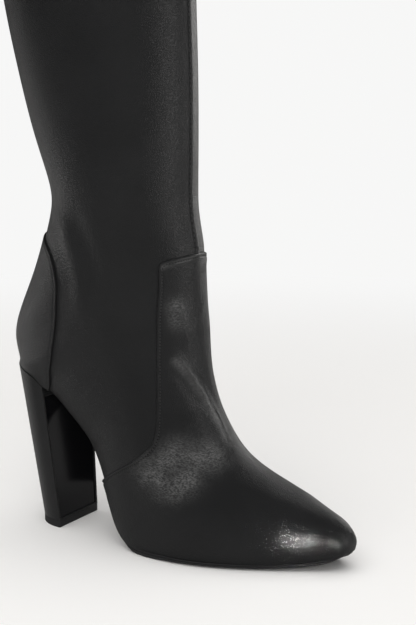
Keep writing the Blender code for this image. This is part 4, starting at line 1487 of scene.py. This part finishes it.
class BOOT_OT_stitches(bpy.types.Operator):
    """Sews the stitches along the seams"""
    bl_idname = "boot.stitches"
    bl_label = "Stitches"

    def execute(self, context):
        thread, hole_shade = plain_material("thread"), plain_material("needle_hole")
        for piece in make_stitches(thread, hole_shade, context.scene.boot_stitches):
            to_frame(piece, "black_leather")
        return {"FINISHED"}


# --- The stage ----------------------------------------------------------------------------------

CAMERA_PLACE = (0.5397, -0.7110, 0.3015)
CAMERA_AZIMUTH = 30.99    # degrees from the view along +Y, towards +X
CAMERA_DOWN = 10.34       # degrees below the horizon
LENS = 79.06              # millimetres, on a sensor of this width
SENSOR = 36
FLOOR_SIZE = 12.0
FLOOR_CENTRE = (0.05, 0.0, 0.0)
FLOOR_NEAR = 0.35         # the floor turns from paper in the light to plain background, metres out
FLOOR_FAR = 1.1
PAPER = 0.9               # how white the paper is where it is seen
PAPER_FELT = 0.4          # and for the light that it throws back on the boot
ROOM_COLOUR = (1.0, 0.99, 0.98)
LIGHT_COLOUR = (1.0, 0.985, 0.965)

# Lights, each with its power in the setting of its name: where they are and where they point, in
# metres, their width and height, and the angle they spread over. The fill lights reach only matt
# surfaces, and the others only glossy ones.
Light = namedtuple("Light", "name place target width height spread fill")

LIGHTS = (
    Light("sky", (0.10, -0.30, 2.40), (0.10, -0.10, 0.00), 5.00, 5.00, 180, True),
    Light("room", (1.60, -2.70, 0.90), (0.10, 0.00, 0.25), 4.00, 2.40, 180, True),
    Light("toe", (0.71, -0.86, 0.11), (0.200, -0.006, 0.022), 0.06, 0.08, 3, False),
    Light("side", (1.22, 0.24, 0.32), (0.10, 0.00, 0.22), 0.60, 0.60, 180, False),
    Light("beyond", (0.22, 1.30, 0.48), (0.12, 0.00, 0.25), 0.40, 0.90, 180, False),
    Light("heel_side", (-1.18, 0.25, 0.20), (0.00, 0.00, 0.18), 0.36, 0.36, 180, False),
    Light("heel_low", (-0.66, -0.16, 0.07), (0.00, -0.03, 0.15), 0.34, 0.14, 30, False),
)
FLAG_CORNERS = ((0.03, 0.10, 0.0), (0.096, 0.10, 0.0), (0.096, 0.10, 0.11), (0.03, 0.10, 0.11))


def add_camera():
    data = bpy.data.cameras.new("camera")
    data.lens = LENS
    data.sensor_width = SENSOR
    camera = in_scene("camera", data)
    camera.location = CAMERA_PLACE
    camera.rotation_euler = (math.radians(90 - CAMERA_DOWN), 0, math.radians(CAMERA_AZIMUTH))
    bpy.context.scene.camera = camera


def add_light(light, power):
    data = bpy.data.lights.new(light.name, "AREA")
    data.shape = "ELLIPSE"
    data.size = light.width
    data.size_y = light.height
    data.spread = math.radians(light.spread)
    data.energy = power
    data.color = LIGHT_COLOUR
    lamp = in_scene(light.name, data)
    lamp.location = light.place
    aim = Vector(light.target) - Vector(light.place)
    lamp.rotation_euler = aim.to_track_quat("-Z", "Y").to_euler()
    lamp.visible_camera = False
    lamp.visible_diffuse = light.fill
    lamp.visible_glossy = not light.fill


def camera_sees(build, seen, felt):
    """A shader that the camera sees as one and everything else as another."""
    path = build.out(build.node("ShaderNodeLightPath"), "Is Camera Ray")
    return build.either(path, felt, seen)


def grey(value):
    return (value, value, value, 1.0)


def paper_material(settings):
    """White paper near the boot, that fades into the background farther out. The camera sees it
    brighter than the boot does."""
    material = bpy.data.materials.new("paper")
    build = Tree(material)
    away = {"Vector": build.place(), "Vector_001": FLOOR_CENTRE}
    away = build.node("ShaderNodeVectorMath", {"operation": "DISTANCE"}, away)
    far = build.ramp(build.out(away, "Value"), FLOOR_NEAR, FLOOR_FAR)
    glow = build.mix(far, grey(0), colour4(settings.background))
    glow = build.shader("ShaderNodeEmission", Color=glow, Strength=1.0)
    paper = build.shader("ShaderNodeBsdfDiffuse", Color=build.mix(far, grey(PAPER), grey(0)))
    seen = build.node("ShaderNodeAddShader", None, {"Shader": glow, "Shader_001": paper})
    felt = build.shader("ShaderNodeBsdfDiffuse", Color=grey(PAPER_FELT))
    build.end(camera_sees(build, build.out(seen), felt))
    return material


def make_world(settings):
    """The background behind the boot, and the dim room that it reflects."""
    world = bpy.data.worlds.new("studio")
    bpy.context.scene.world = world
    build = Tree(world)
    seen = build.shader("ShaderNodeBackground", Color=colour4(settings.background))
    room = build.shader("ShaderNodeBackground", Color=colour4(ROOM_COLOUR),
                        Strength=settings.surround)
    build.end(camera_sees(build, seen, room), "ShaderNodeOutputWorld")


def make_flag():
    """A dark card on the inner side that only glossy surfaces see."""
    flag = mesh_piece("flag", FLAG_CORNERS, [[0, 1, 2, 3]], [plain_material("flag")])
    flag.visible_camera = False
    flag.visible_diffuse = False
    flag.visible_shadow = False


class BOOT_OT_stage(bpy.types.Operator):
    """Makes the floor, the background, the lights and the camera"""
    bl_idname = "boot.stage"
    bl_label = "Stage"

    def execute(self, context):
        settings = context.scene.boot_stage
        half = FLOOR_SIZE / 2
        corners = [(-half, -half, 0), (half, -half, 0), (half, half, 0), (-half, half, 0)]
        floor = mesh_piece("floor", corners, [[0, 1, 2, 3]], [paper_material(settings)])
        make_flag()
        make_world(settings)
        for light in LIGHTS:
            add_light(light, getattr(settings, light.name))
        add_camera()
        context.scene.view_settings.view_transform = "Standard"
        return {"FINISHED"}


OPERATORS = (BOOT_OT_shaft, BOOT_OT_vamp, BOOT_OT_counter, BOOT_OT_sole, BOOT_OT_heel,
             BOOT_OT_stitches, BOOT_OT_stage)
SETTINGS = {"boot_leather": LeatherSettings, "boot_stitches": StitchSettings,
            "boot_heel": HeelSettings, "boot_stage": StageSettings}


class BOOT_PT_panel(bpy.types.Panel):
    """The boot's pieces and their settings"""
    bl_label = "Thigh-High Boot"
    bl_idname = "BOOT_PT_panel"
    bl_space_type = "VIEW_3D"
    bl_region_type = "UI"
    bl_category = "Boot"

    def draw(self, context):
        for name, group in SETTINGS.items():
            box = self.layout.box()
            for setting in group.__annotations__:
                box.prop(getattr(context.scene, name), setting)
        for operator in OPERATORS:
            self.layout.operator(operator.bl_idname)


def register():
    for group in SETTINGS.values():
        bpy.utils.register_class(group)
    for name, group in SETTINGS.items():
        setattr(bpy.types.Scene, name, PointerProperty(type=group))
    for operator in OPERATORS:
        bpy.utils.register_class(operator)
    bpy.utils.register_class(BOOT_PT_panel)


def unregister():
    bpy.utils.unregister_class(BOOT_PT_panel)
    for operator in reversed(OPERATORS):
        bpy.utils.unregister_class(operator)
    for name, group in reversed(SETTINGS.items()):
        delattr(bpy.types.Scene, name)
        bpy.utils.unregister_class(group)


def main():
    register()
    bpy.ops.boot.shaft()
    bpy.ops.boot.vamp()
    bpy.ops.boot.counter()
    bpy.ops.boot.sole()
    bpy.ops.boot.heel()
    bpy.ops.boot.stitches()
    bpy.ops.boot.stage()


if __name__ == "__main__":
    main()
